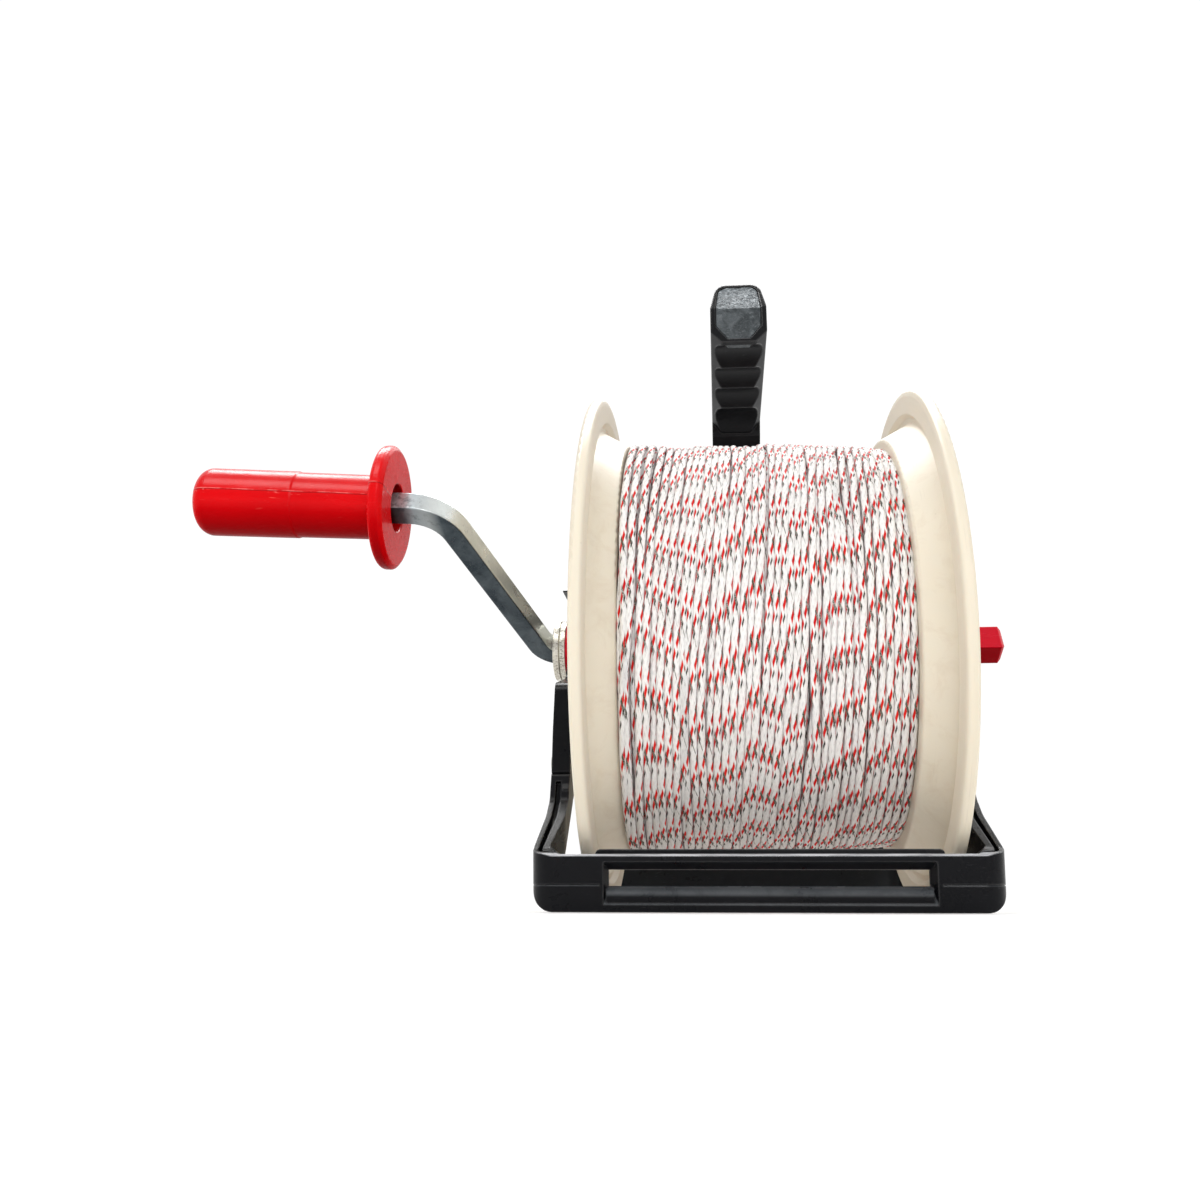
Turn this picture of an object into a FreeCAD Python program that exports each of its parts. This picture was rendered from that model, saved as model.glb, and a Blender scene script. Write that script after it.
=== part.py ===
import FreeCAD, Part
import os
from math import sin, cos, tan, pi, radians, degrees, hypot, acos

V = FreeCAD.Vector
os.makedirs("parts", exist_ok=True)

# ---------------------------------------------------------------------------
# Electric fence reel: a drum of braided polywire on a square steel crank bar,
# carried by a black moulded frame that stands on a front guide bar and a rear
# foot bar, with a carry handle above.  Millimetres, +Z up, -Y is the side of
# the wire guide, +X is the side away from the crank.
# ---------------------------------------------------------------------------

# ---- where the drum centre lies (the origin is the middle of the footprint)
axle_x = 49.74            # X of the drum's middle plane
axle_y = -20.85           # Y of the axle
axle_z = 101.0            # height of the axle in this drawing
rest_z = 1.1              # height of the resting plane in this drawing, taken off when the pieces are written

# ---- drum
flange_r = 99.5           # flange radius
flange_x = 61.6           # outer face of each flange from the middle plane
ring_x = 57.2             # flat ring on the inner side of the flange
ring_r0, ring_r1 = 90.4, 97.2
groove_x = 59.2
groove_r0, groove_r1 = 86.8, 89.0
web_x = 48.4              # inner face of the web, the wire lies against it
web_r = 80.8
web_t = 2.8
barrel_r, barrel_wall = 34.0, 3.0
hub_end_x = 62.2          # outer end of the hub sleeve and of the notched ring
hub_sleeve_r = 10.5
notch_ring_r, notch_ring_ri = 32.0, 26.4
notch_count, notch_w = 12, 6.2
notch_phase = 79.6        # degrees from +Y towards +Z
rib_count, rib_t = 12, 2.0
wire_r = 82.0             # outside of the wound wire
wire_x = 48.2

# ---- crank bar, 8 mm square steel
bar = 8.0
bar_corner = 0.7
crank_up = 24.74          # degrees that the arm rises above the horizontal, towards -Y
bend1_x = -84.7           # where the axle line meets the arm line
arm_slope = -3.003        # arm: radial rise per mm of X
spindle_x, spindle_s = -128.05, 80.38      # a point of the spindle's axis
spindle_slope = -0.0775
bend1_r, bend2_r = 10.0, 16.0
bar_end_x = 92.2
spindle_r = 3.95
spindle_clear = 0.08
grip_len = 68.2
grip_r_tip, grip_r_neck = 11.7, 11.15
guard_r, guard_t = 21.5, 4.6

# ---- frame
frame_mid = -2.5          # the frame's middle plane from the drum's
frame_half = 72.0         # to the outer face of a side frame
lip_h = 2.0               # the outer lips stand this far out of the side plate
plate_t = 4.5
lip_w = 2.6
hub_boss_r, hub_plate_r = 13.5, 19.0
bush_r, bush_clear = 9.0, 0.08
bush_flange_r, bush_flange_t = 12.0, 1.2
washer_r, washer_ri, washer_t = 12.0, 6.5, 2.5
arm_dir = (118.0, 123.0)  # upper arm, from the axle to the yoke (Y, Z)
bar_top_z = 18.5          # top of the front guide bar
rail_t = 5.0
lean = 4.0 / 19.6         # lean of the guide bar's face

# ---- carry handle
handle_mid = -3.4
handle_w, handle_top_w = 26.0, 20.0
handle_z0, handle_z1 = 249.0, 284.0
handle_y0, handle_y1 = 12.6, 118.0
crest_y = (15.4, 35.8, 55.1, 75.9, 103.2)


# ---------------------------------------------------------------- helpers
def arc_poly(points):
    """Closed wire through (a, b, r) corners; r rounds the corner."""
    n = len(points)
    segs = []
    pts = []
    for i in range(n):
        a0, b0 = points[i - 1][:2]
        a1, b1 = points[i][:2]
        a2, b2 = points[(i + 1) % n][:2]
        r = points[i][2] if len(points[i]) > 2 else 0.0
        v1 = (a0 - a1, b0 - b1)
        v2 = (a2 - a1, b2 - b1)
        l1, l2 = hypot(*v1), hypot(*v2)
        u1 = (v1[0] / l1, v1[1] / l1)
        u2 = (v2[0] / l2, v2[1] / l2)
        dot = max(-1.0, min(1.0, u1[0] * u2[0] + u1[1] * u2[1]))
        ang = acos(dot)
        if r <= 0 or abs(ang - pi) < 1e-3:
            pts.append(((a1, b1), None, (a1, b1)))
            continue
        t = r / tan(ang / 2)
        if t > 0.98 * min(l1, l2):
            raise ValueError("corner %d radius %.2f needs %.2f of %.2f" % (i, r, t, min(l1, l2)))
        p = (a1 + u1[0] * t, b1 + u1[1] * t)
        q = (a1 + u2[0] * t, b1 + u2[1] * t)
        bis = (u1[0] + u2[0], u1[1] + u2[1])
        lb = hypot(*bis)
        d = r / sin(ang / 2) - r
        m = (a1 + bis[0] / lb * d, b1 + bis[1] / lb * d)
        pts.append((p, m, q))
    return pts


def wire_from(points, to3d):
    pts = arc_poly(points)
    edges = []
    n = len(pts)
    for i in range(n):
        p, m, q = pts[i]
        if m is not None:
            edges.append(Part.Arc(to3d(*p), to3d(*m), to3d(*q)).toShape())
        nxt = pts[(i + 1) % n][0]
        if hypot(nxt[0] - q[0], nxt[1] - q[1]) > 1e-6:
            edges.append(Part.LineSegment(to3d(*q), to3d(*nxt)).toShape())
    return Part.Wire(Part.__sortEdges__(edges))


def face_yz(points, x):
    return Part.Face(wire_from(points, lambda y, z: V(x, y, z)))


def plate_yz(points, x0, x1):
    return face_yz(points, x0).extrude(V(x1 - x0, 0, 0))


def face_xy(points, z):
    return Part.Face(wire_from(points, lambda x, y: V(x, y, z)))


def box(x0, x1, y0, y1, z0, z1):
    return Part.makeBox(x1 - x0, y1 - y0, z1 - z0, V(x0, y0, z0))


def cyl_x(x0, x1, y, z, r):
    return Part.makeCylinder(r, x1 - x0, V(x0, y, z), V(1, 0, 0))


def tube_x(x0, x1, y, z, r, ri):
    return cyl_x(x0, x1, y, z, r).cut(cyl_x(x0 - 1, x1 + 1, y, z, ri))


def revolve_x(points, y=0.0, z=None):
    """Solid of revolution about the axle line; points are (x, r[, corner radius])."""
    z = axle_z if z is None else z
    face = Part.Face(wire_from(points, lambda a, b: V(a, y, z + b)))
    return face.revolve(V(0, y, z), V(1, 0, 0), 360)


def revolve_axis(points, origin, direction):
    """Solid of revolution about any line; points are (distance along it, r[, corner radius])."""
    d = V(direction)
    d.normalize()
    side = d.cross(V(0, 1, 0))
    side.normalize()
    face = Part.Face(wire_from(points, lambda a, b: origin + d * a + side * b))
    return face.revolve(origin, d, 360)


def turn_x(shape, deg, y=0.0, z=None):
    s = shape.copy()
    s.rotate(V(0, y, axle_z if z is None else z), V(1, 0, 0), deg)
    return s


def mirror_drum(shape):
    return shape.mirror(V(0, 0, 0), V(1, 0, 0))


def mirror_frame(shape):
    return shape.mirror(V(frame_mid, 0, 0), V(1, 0, 0))


def fuse(shapes):
    s = shapes[0]
    rest = list(shapes[1:])
    if rest:
        s = s.fuse(rest)
    return s.removeSplitter()


def fillet_where(shape, radius, test):
    edges = [e for e in shape.Edges if test(e)]
    if not edges:
        return shape
    try:
        out = shape.makeFillet(radius, edges)
        if out.isValid() and out.Volume > 0:
            return out
    except Exception as err:
        print("fillet skipped:", err)
    # one at a time, keeping those that work
    return shape


def chamfer_where(shape, size, test):
    edges = [e for e in shape.Edges if test(e)]
    if not edges:
        return shape
    try:
        out = shape.makeChamfer(size, edges)
        if out.isValid() and out.Volume > 0:
            return out
    except Exception as err:
        print("chamfer skipped:", err)
    return shape


def pan_screw(origin, direction, head_r, head_h, shank_r, length, recess=1.0):
    """Pan-head screw; origin is under the head, direction runs along the shank."""
    d = V(direction)
    d.normalize()
    s = revolve_axis([(-head_h, 0), (-head_h, head_r * 0.72, 0.5), (-head_h * 0.45, head_r, 0.5),
                      (0, head_r), (0, shank_r), (length - shank_r, shank_r), (length, shank_r * 0.35), (length, 0)],
                     origin, d)
    # cross recess in the head
    side = d.cross(V(0, 1, 0))
    if side.Length < 0.1:
        side = d.cross(V(0, 0, 1))
    side.normalize()
    up = d.cross(side)
    for a, b in ((side, up), (up, side)):
        w, l = head_r * 0.24, head_r * 1.05
        p0 = origin - d * (head_h + 0.2) - a * (l / 2) - b * (w / 2)
        f = Part.Face(Part.makePolygon([p0, p0 + a * l, p0 + a * l + b * w, p0 + b * w, p0]))
        s = s.cut(f.extrude(d * (recess + 0.2)))
    return s


nodes = {}


def add(name, shape):
    nodes[name] = shape


# ---------------------------------------------------------------- drum
def flange():
    """Right-hand flange with its hub: rim bead, ring, groove, shoulder, dished web."""
    prof = [
        (web_x, 4.0), (web_x, web_r, 1.6),
        (groove_x, groove_r0, 0.8), (groove_x, groove_r1, 0.5),
        (ring_x, ring_r0, 0.4), (ring_x, ring_r1, 0.4),
        (ring_x + 0.5, flange_r, 1.3), (flange_x, flange_r, 1.5),
        (flange_x, flange_r - 3.4, 0.4), (flange_x - 1.7, flange_r - 3.9, 0.3),
        (flange_x - 1.7, ring_r0 + 1.4, 0.3), (flange_x, ring_r0 + 0.9, 0.4),
        (flange_x, groove_r0 - 1.6, 0.6),
        (web_x + web_t, web_r - 2.4, 1.2), (web_x + web_t, 4.0),
    ]
    body = revolve_x(prof)
    sleeve = cyl_x(web_x + 1, hub_end_x, 0, axle_z, hub_sleeve_r)
    sleeve = chamfer_where(sleeve, 0.6, lambda e: abs(e.BoundBox.XMin - hub_end_x) < 1e-4 and abs(e.BoundBox.XMax - hub_end_x) < 1e-4)
    spigot = tube_x(web_x - 6, web_x + 1, 0, axle_z, barrel_r - barrel_wall - 0.1, barrel_r - barrel_wall - 3.0)
    ring = tube_x(web_x + 1, hub_end_x, 0, axle_z, notch_ring_r, notch_ring_ri - 3.0)
    cuts = []
    for i in range(notch_count):
        b = box(web_x + web_t + 6.0, hub_end_x + 1, notch_ring_ri, notch_ring_r + 2, axle_z - notch_w / 2, axle_z + notch_w / 2)
        cuts.append(turn_x(b, notch_phase + i * 360.0 / notch_count))
    ring = ring.cut(cuts)
    ribs = []
    rib_pts = [(web_x + 1, notch_ring_r - 2.0), (web_x + 1, web_r - 1.0), (web_x + 7.6, web_r + 1.6), (web_x + 7.6, web_r - 6), (web_x + 7.6, notch_ring_r - 2.0)]
    for i in range(rib_count):
        w = Part.makePolygon([V(x, r, axle_z - rib_t / 2) for x, r in rib_pts] + [V(rib_pts[0][0], rib_pts[0][1], axle_z - rib_t / 2)])
        rib = Part.Face(w).extrude(V(0, 0, rib_t))
        ribs.append(turn_x(rib, notch_phase + 15 + i * 360.0 / rib_count))
    inner = []
    for i in range(3):
        b = box(web_x + 1, hub_end_x - 4.0, hub_sleeve_r - 1, notch_ring_ri - 2.0, axle_z - 1.2, axle_z + 1.2)
        inner.append(turn_x(b, notch_phase + 60 + i * 120.0))
    s = body.fuse([sleeve, spigot, ring] + ribs + inner)
    s = s.removeSplitter()
    # square bore for the bar, three screw holes, and the hole that holds the wire's inner end
    hole = box(web_x - 10, hub_end_x + 5, -bar / 2 - 0.05, bar / 2 + 0.05, axle_z - bar / 2 - 0.05, axle_z + bar / 2 + 0.05)
    s = s.cut(turn_x(hole, -crank_up))
    for i in range(3):
        a = radians(notch_phase + i * 120.0)
        s = s.cut(cyl_x(web_x - 8, hub_end_x, 18.0 * cos(a), axle_z + 18.0 * sin(a), 2.1))
    a = radians(notch_phase + 30)
    s = s.cut(cyl_x(web_x - 8, hub_end_x, 44.0 * cos(a), axle_z + 44.0 * sin(a), 2.6))
    return s


right_flange = flange()
left_flange = mirror_drum(right_flange)
add("drum_flange_right", right_flange)
add("drum_flange_left", left_flange)

core = tube_x(-web_x, web_x, 0, axle_z, barrel_r, barrel_r - barrel_wall)
bosses = []
for i in range(3):
    a = radians(notch_phase + i * 120.0)
    y, z = 18.0 * cos(a), axle_z + 18.0 * sin(a)
    b = cyl_x(-web_x, web_x, y, z, 4.2)
    rib = box(-web_x + 7, web_x - 7, 18.0, barrel_r - 1.5, axle_z - 1.4, axle_z + 1.4)
    bosses.append(b)
    bosses.append(turn_x(rib, notch_phase + i * 120.0))
core = core.fuse(bosses).removeSplitter()
for i in range(3):
    a = radians(notch_phase + i * 120.0)
    y, z = 18.0 * cos(a), axle_z + 18.0 * sin(a)
    core = core.cut(cyl_x(-web_x - 1, -web_x + 18, y, z, 1.7))
    core = core.cut(cyl_x(web_x - 18, web_x + 1, y, z, 1.7))
add("drum_core", core)

r_screws, l_screws = [], []
for i in range(3):
    a = radians(notch_phase + i * 120.0)
    y, z = 18.0 * cos(a), axle_z + 18.0 * sin(a)
    r_screws.append(pan_screw(V(web_x + web_t, y, z), V(-1, 0, 0), 3.9, 2.6, 1.7, 15.0))
    l_screws.append(pan_screw(V(-web_x - web_t, y, z), V(1, 0, 0), 3.9, 2.6, 1.7, 15.0))
add("right_flange_screws", Part.makeCompound(r_screws))
add("left_flange_screws", Part.makeCompound(l_screws))

wind = revolve_x([(-wire_x, barrel_r + 0.06), (-wire_x, wire_r, 1.2), (wire_x, wire_r, 1.2), (wire_x, barrel_r + 0.06)])
add("polywire_winding", wind)

# ---------------------------------------------------------------- crank bar
cu = radians(crank_up)
n_dir = V(0, -cos(cu), sin(cu))       # direction of the crank arm seen along the axle
m_dir = V(0, -sin(cu), -cos(cu))      # normal of the plane that the bar is bent in
axis0 = V(0, 0, axle_z)


def cp(x, s, m=0.0):
    return axis0 + V(x, 0, 0) + n_dir * s + m_dir * m


# corner of the axle line and the arm, and of the arm and the spindle
c1 = (bend1_x, 0.0)
xs = (spindle_s - spindle_slope * spindle_x + arm_slope * bend1_x) / (arm_slope - spindle_slope)
c2 = (xs, arm_slope * (xs - bend1_x))
ends = hypot(1.0, spindle_slope)
sp_dir = (-1.0 / ends, -spindle_slope / ends)
guard_face = (spindle_x + 2.0, spindle_s + spindle_slope * 2.0)      # where the grip starts
gf = V(*cp(*guard_face))
sp_vec = V(sp_dir[0], 0, 0) + n_dir * sp_dir[1]
square_end = 6.5                       # the square section ends this far inside the grip
sq_end = (guard_face[0] + sp_dir[0] * square_end, guard_face[1] + sp_dir[1] * square_end)


def square_face(x, s, dx, ds):
    """Rounded square section at (x, s), facing along (dx, ds) in the bar's plane."""
    l = hypot(dx, ds)
    u = (-ds / l, dx / l)
    h = bar / 2
    c = bar_corner
    pts = [(-h, -h, c), (h, -h, c), (h, h, c), (-h, h, c)]
    return Part.Face(wire_from(pts, lambda a, b: cp(x + u[0] * a, s + u[1] * a, b)))


def bend_data(p, a, b, r):
    """Tangent points and centre of a bend of radius r at corner p between unit vectors a and b."""
    dot = a[0] * b[0] + a[1] * b[1]
    ang = acos(dot)                     # angle between the two legs
    t = r / tan(ang / 2)
    pa = (p[0] + a[0] * t, p[1] + a[1] * t)
    pb = (p[0] + b[0] * t, p[1] + b[1] * t)
    bis = (a[0] + b[0], a[1] + b[1])
    l = hypot(*bis)
    d = r / sin(ang / 2)
    c = (p[0] + bis[0] / l * d, p[1] + bis[1] / l * d)
    return pa, pb, c, pi - ang


arm_l = hypot(c2[0] - c1[0], c2[1] - c1[1])
u_arm = ((c2[0] - c1[0]) / arm_l, (c2[1] - c1[1]) / arm_l)
b1a, b1b, b1c, b1ang = bend_data(c1, (1.0, 0.0), u_arm, bend1_r)
b2a, b2b, b2c, b2ang = bend_data(c2, (-u_arm[0], -u_arm[1]), sp_dir, bend2_r)


def run(p, q):
    f = square_face(p[0], p[1], q[0] - p[0], q[1] - p[1])
    return f.extrude(cp(*q) - cp(*p))


def bend(p, direction, c, ang, sign):
    f = square_face(p[0], p[1], *direction)
    return f.revolve(cp(*c), m_dir * sign, degrees(ang))


pieces = [run((bar_end_x, 0.0), b1a)]
cand = bend(b1a, (-1.0, 0.0), b1c, b1ang, 1)
probe = cp(*b1b)
if cand.distToShape(Part.Vertex(probe))[0] > 0.5 or not cand.isInside(probe - V(0, 0, 0), 0.5, True):
    cand = bend(b1a, (-1.0, 0.0), b1c, b1ang, -1)
pieces.append(cand)
pieces.append(run(b1b, b2a))
cand = bend(b2a, u_arm, b2c, b2ang, 1)
probe = cp(*b2b)
if not cand.isInside(probe, 0.5, True):
    cand = bend(b2a, u_arm, b2c, b2ang, -1)
pieces.append(cand)
pieces.append(run(b2b, sq_end))
crank = pieces[0].fuse(pieces[1:]).removeSplitter()
spindle_len = grip_len - 9.0
spindle = revolve_axis([(square_end - 1.0, 0), (square_end - 1.0, spindle_r), (spindle_len - 3.6, spindle_r),
                        (spindle_len - 3.6, spindle_r - 0.7), (spindle_len - 2.4, spindle_r - 0.7),
                        (spindle_len - 2.4, spindle_r), (spindle_len - 0.8, spindle_r), (spindle_len, spindle_r - 0.8), (spindle_len, 0)],
                       gf, sp_vec)
crank = crank.fuse(spindle).removeSplitter()
# cross hole for the retaining pin
pin_x = 75.4
pin_hole = Part.makeCylinder(1.5, 20, cp(pin_x, 0, -10), m_dir)
crank = crank.cut(pin_hole)
add("crank_bar", crank)
add("axle_retaining_pin", Part.makeCylinder(1.5, 15.0, cp(pin_x, 0, -7.5), m_dir))

# grip: one moulding with a guard, turning on the round end of the bar
bore = spindle_r + spindle_clear
L = grip_len
grip = revolve_axis([
    (0.0, 8.3, 0.6), (0.0, guard_r - 1.6, 1.2), (1.2, guard_r, 1.2), (guard_t, guard_r, 1.9), (guard_t + 0.6, guard_r - 4.0, 1.5),
    (guard_t - 0.2, grip_r_neck + 1.2, 1.0), (guard_t + 1.8, grip_r_neck, 1.0),
    (L * 0.49, grip_r_neck + 0.15), (L * 0.49 + 0.7, grip_r_tip - 0.1, 0.25), (L - 0.9, grip_r_tip + 0.05, 4.6), (L, grip_r_tip - 6.0, 3.0), (L, 0),
    (L - 3.2, 0), (L - 3.2, 8.3, 1.2), (L - 15.0, 8.3, 0.3), (L - 15.0, bore), (8.6, bore), (8.6, 6.4, 0.3), (3.4, 6.4, 0.3), (3.4, 8.3, 0.3)],
    gf, sp_vec)
add("crank_grip", grip)
clip = revolve_axis([(spindle_len - 3.5, spindle_r - 0.66), (spindle_len - 3.5, 7.2, 0.2), (spindle_len - 2.5, 7.2, 0.2), (spindle_len - 2.5, spindle_r - 0.66)], gf, sp_vec)
add("grip_retaining_ring", clip)

# ---------------------------------------------------------------- bushes, washers, end cap
fl = frame_mid - frame_half            # outer face of the left side frame
fr = frame_mid + frame_half


def square_hole(x0, x1, half):
    return turn_x(box(x0, x1, -half, half, axle_z - half, axle_z + half), -crank_up)


def bush(x_face, x_in, sign):
    """Red bush: thrust flange outside, sleeve through the side frame to the drum."""
    if sign < 0:
        s = revolve_x([(x_face - bush_flange_t, 3.0), (x_face - bush_flange_t, bush_flange_r, 0.4), (x_face - 0.05, bush_flange_r, 0.2), (x_face - 0.05, bush_r), (x_in, bush_r, 0.4), (x_in, 3.0)])
        return s.cut(square_hole(x_face - 10, x_in + 10, bar / 2 + 0.02))
    s = revolve_x([(x_face + bush_flange_t, 3.0), (x_face + bush_flange_t, bush_flange_r, 0.4), (x_face + 0.05, bush_flange_r, 0.2), (x_face + 0.05, bush_r), (x_in, bush_r, 0.4), (x_in, 3.0)])
    return s.cut(square_hole(x_in - 10, x_face + 10, bar / 2 + 0.02))


add("left_bush", bush(fl, -hub_end_x - 0.05, -1))
add("right_bush", bush(fr, hub_end_x + 0.05, 1))
wl = fl - bush_flange_t


def plain_washer(x0, x1, r, ri):
    s = tube_x(x0, x1, 0, axle_z, r, ri)
    return chamfer_where(s, 0.3, lambda e: abs(e.BoundBox.YLength - 2 * r) < 1e-3)


add("hub_washer_inner", plain_washer(wl - washer_t - 0.02, wl - 0.02, washer_r, washer_ri))
add("hub_washer_outer", plain_washer(wl - 2 * washer_t - 0.04, wl - washer_t - 0.04, washer_r, washer_ri))
add("thrust_washer", plain_washer(fr + bush_flange_t + 0.02, fr + bush_flange_t + 1.6, 10.0, 6.2))

cap_x0, cap_x1, cap_h = 78.2, 95.0, 5.3
cap = box(cap_x0, cap_x1, -cap_h, cap_h, axle_z - cap_h, axle_z + cap_h)
cap = chamfer_where(cap, 1.3, lambda e: e.BoundBox.XLength < 1e-6 and e.BoundBox.XMin > cap_x1 - 1e-3)
cap = fillet_where(cap, 0.7, lambda e: e.BoundBox.XLength > 10 and e.BoundBox.YLength < 1e-6 and e.BoundBox.ZLength < 1e-6)
cap = turn_x(cap, -crank_up)
cap = cap.cut(square_hole(cap_x0 - 1, bar_end_x, bar / 2 + 0.02))
add("axle_end_cap", cap)

# ---------------------------------------------------------------- side frames
ul = hypot(*arm_dir)
uy, uz = arm_dir[0] / ul, arm_dir[1] / ul          # along the upper arm
py_, pz_ = -uz, uy                                  # across it, towards the front


def on_arm(a, b):
    """Point of the side view at a along the upper arm and b across it."""
    return (uy * a + py_ * b, axle_z + uz * a + pz_ * b)


arm_end = 150.0
arm_half = 10.5
ua = on_arm(arm_end, -arm_half)
ub = on_arm(arm_end, arm_half)
outline = [
    (-39.4, 79.2, 4.0), (-40.9, 62.0, 40.0), (-40.6, 47.5, 0.6), (-31.2, 38.5, 0.6),
    (-21.0, 52.0, 12.0), (0.0, 73.0, 12.0), (44.6, 40.0, 0.6), (57.7, 52.3, 0.6),
    (13.6, 99.5, 14.0), (ua[0], ua[1], 0.6), (ub[0], ub[1], 0.6), (-8.8, 108.6, 7.0), (-15.0, 86.4, 6.0),
]
xo = fl
xi = fl + lip_h + plate_t               # inner face of the left side frame


def side_frame():
    base = plate_yz(outline, xo + lip_h, xi)
    face = face_yz(outline, xo)
    inner = face.makeOffset2D(-lip_w)
    rim = face.cut(inner).extrude(V(lip_h + 0.5, 0, 0))
    hub = cyl_x(xo + lip_h, xi, 0, axle_z, hub_plate_r)
    boss = cyl_x(xo, xi, 0, axle_z, hub_boss_r)
    # stiffening rib along the middle of each limb, inside the lips
    ribs = []

    def strip(p, q, w):
        d = hypot(q[0] - p[0], q[1] - p[1])
        e = ((q[0] - p[0]) / d, (q[1] - p[1]) / d)
        n = (-e[1] * w / 2, e[0] * w / 2)
        return plate_yz([(p[0] + n[0], p[1] + n[1]), (q[0] + n[0], q[1] + n[1]), (q[0] - n[0], q[1] - n[1]), (p[0] - n[0], p[1] - n[1])], xo + 0.5, xo + lip_h + 0.5)

    ribs.append(strip(on_arm(8, 0), on_arm(arm_end - 26, 0), 2.2))
    ribs.append(strip((8, 94), (42.0, 56.5), 2.2))
    ribs.append(strip((-8, 95), (-29.5, 64.0), 2.2))
    s = base.fuse([rim, hub, boss] + ribs).removeSplitter()
    # running bore for the bush
    s = s.cut(cyl_x(xo - 1, xi + 1, 0, axle_z, bush_r + bush_clear))
    # half laps: the inner half is cut away where the guide, foot and yoke tongues lie
    return s


lap_x = xi - 2.4                        # the tongues take the inner 2.4 mm
lap_clear = 0.05


def tongue_pts(p_out, p_in, direction, length, inset=1.2, r=3.0):
    """Tongue outline that leaves a seam edge p_out-p_in along direction."""
    dx, dz = p_in[0] - p_out[0], p_in[1] - p_out[1]
    l = hypot(dx, dz)
    e = (dx / l, dz / l)
    a = (p_out[0] + e[0] * inset, p_out[1] + e[1] * inset)
    b = (p_in[0] - e[0] * inset, p_in[1] - e[1] * inset)
    return a, b, (a[0] + direction[0] * length, a[1] + direction[1] * length), (b[0] + direction[0] * length, b[1] + direction[1] * length)


def norm(v):
    l = hypot(*v)
    return (v[0] / l, v[1] / l)


# front elbow: the rail runs from the elbow down to the guide bar
fe_out, fe_in = (-40.6, 47.5), (-31.2, 38.5)
f_rail = norm((-67.5 + 40.6, bar_top_z - 47.5))
f_tongue_dir = norm((7.0, 15.0))
# rear elbow
re_in, re_out = (44.6, 40.0), (57.7, 52.3)
r_rail = norm((re_out[1] - re_in[1], -(re_out[0] - re_in[0])))
r_tongue_dir = (-r_rail[0], -r_rail[1])


def tongue(p_out, p_in, direction, length, clear=0.0):
    a, b, c, d = tongue_pts(p_out, p_in, direction, length)
    back = 6.0
    a0 = (a[0] - direction[0] * back, a[1] - direction[1] * back)
    b0 = (b[0] - direction[0] * back, b[1] - direction[1] * back)
    pts = [(a0[0], a0[1]), (b0[0], b0[1]), (d[0], d[1], 4.0), (c[0], c[1], 4.0)]
    s = plate_yz(pts, lap_x + lap_clear, xi)
    return s


def tongue_pocket(p_out, p_in, direction, length):
    a, b, c, d = tongue_pts(p_out, p_in, direction, length + 0.15, inset=1.05)
    back = 6.0
    a0 = (a[0] - direction[0] * back, a[1] - direction[1] * back)
    b0 = (b[0] - direction[0] * back, b[1] - direction[1] * back)
    pts = [(a0[0], a0[1]), (b0[0], b0[1]), (d[0], d[1], 4.0), (c[0], c[1], 4.0)]
    return plate_yz(pts, lap_x, xi + 1)


yoke_seam = (on_arm(arm_end, arm_half), on_arm(arm_end, -arm_half))
u_down = (-uy, -uz)
side = side_frame()
side = side.cut([tongue_pocket(fe_out, fe_in, f_tongue_dir, 17.0),
                 tongue_pocket(re_out, re_in, r_tongue_dir, 17.0),
                 tongue_pocket(yoke_seam[0], yoke_seam[1], u_down, 22.0)])
f_screw = (-33.2, 51.4)
r_screw = (51.15 + r_tongue_dir[0] * 8.0, 46.15 + r_tongue_dir[1] * 8.0)
y_screw = on_arm(arm_end - 11.0, 0)
for p in (f_screw, r_screw, y_screw):
    side = side.fuse(cyl_x(xo, lap_x, p[0], p[1], 4.6))
side = side.removeSplitter()
for p in (f_screw, r_screw, y_screw):
    side = side.cut(cyl_x(xo - 1, xi + 1, p[0], p[1], 2.05))

# bearing of the drum lock in the arm of the left side frame
lock_pivot = on_arm(59.9, 1.0)
lock_shaft_r, lock_clear = 4.0, 0.06
left_side = side.fuse(cyl_x(xo, xi, lock_pivot[0], lock_pivot[1], 7.6)).removeSplitter()
left_side = left_side.cut(cyl_x(xo - 1, xi + 1, lock_pivot[0], lock_pivot[1], lock_shaft_r + lock_clear))
add("left_side_frame", left_side)
add("right_side_frame", mirror_frame(side))


def both(shape):
    """The shape and its mirror image on the other side of the frame."""
    return [shape, mirror_frame(shape)]


def frame_screws(p):
    one = pan_screw(V(xo, p[0], p[1]), V(1, 0, 0), 3.6, 1.1, 2.0, xi - xo - 0.02, recess=0.7)
    return Part.makeCompound(both(one))


add("guide_screws", frame_screws(f_screw))
add("foot_screws", frame_screws(r_screw))
add("yoke_screws", frame_screws(y_screw))

# ---------------------------------------------------------------- front guide
def u_face(front, back, out_half, in_half, thick, ro, ri):
    """U in plan, its closed side at y=front; returned as a face at z=0."""
    x0, x1 = frame_mid - out_half, frame_mid + out_half
    xi0, xi1 = frame_mid - in_half, frame_mid + in_half
    s = 1 if back > front else -1
    pts = [(x0, back), (x0, front, ro), (x1, front, ro), (x1, back),
           (xi1, back), (xi1, front + s * thick, ri), (xi0, front + s * thick, ri), (xi0, back)]
    return face_xy(pts, 0.0)


guide_x0, guide_x1 = -77.15, 73.05          # the rails splay out a little towards the bar
guide_r = 7.5                             # corner of the bar seen from above
bar_t = 8.0
rail_k = 0.76                             # the rails are this much thinner than the bar


def guide_line(off):
    """Open outline of the bar and its rails seen from above, off mm inside the outer face."""
    r = max(guide_r - off, 1.0)
    y0 = -63.5 + off
    ox = off * rail_k if off > 0 else off
    oe = min(off * 0.82, 6.5)
    return ([(fl + oe, -20.0), (fl + oe, -42.0, 12.0), (guide_x0 + ox, y0, r), (guide_x1 - ox, y0, r), (fr - oe, -42.0, 12.0), (fr - oe, -20.0)])


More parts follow.
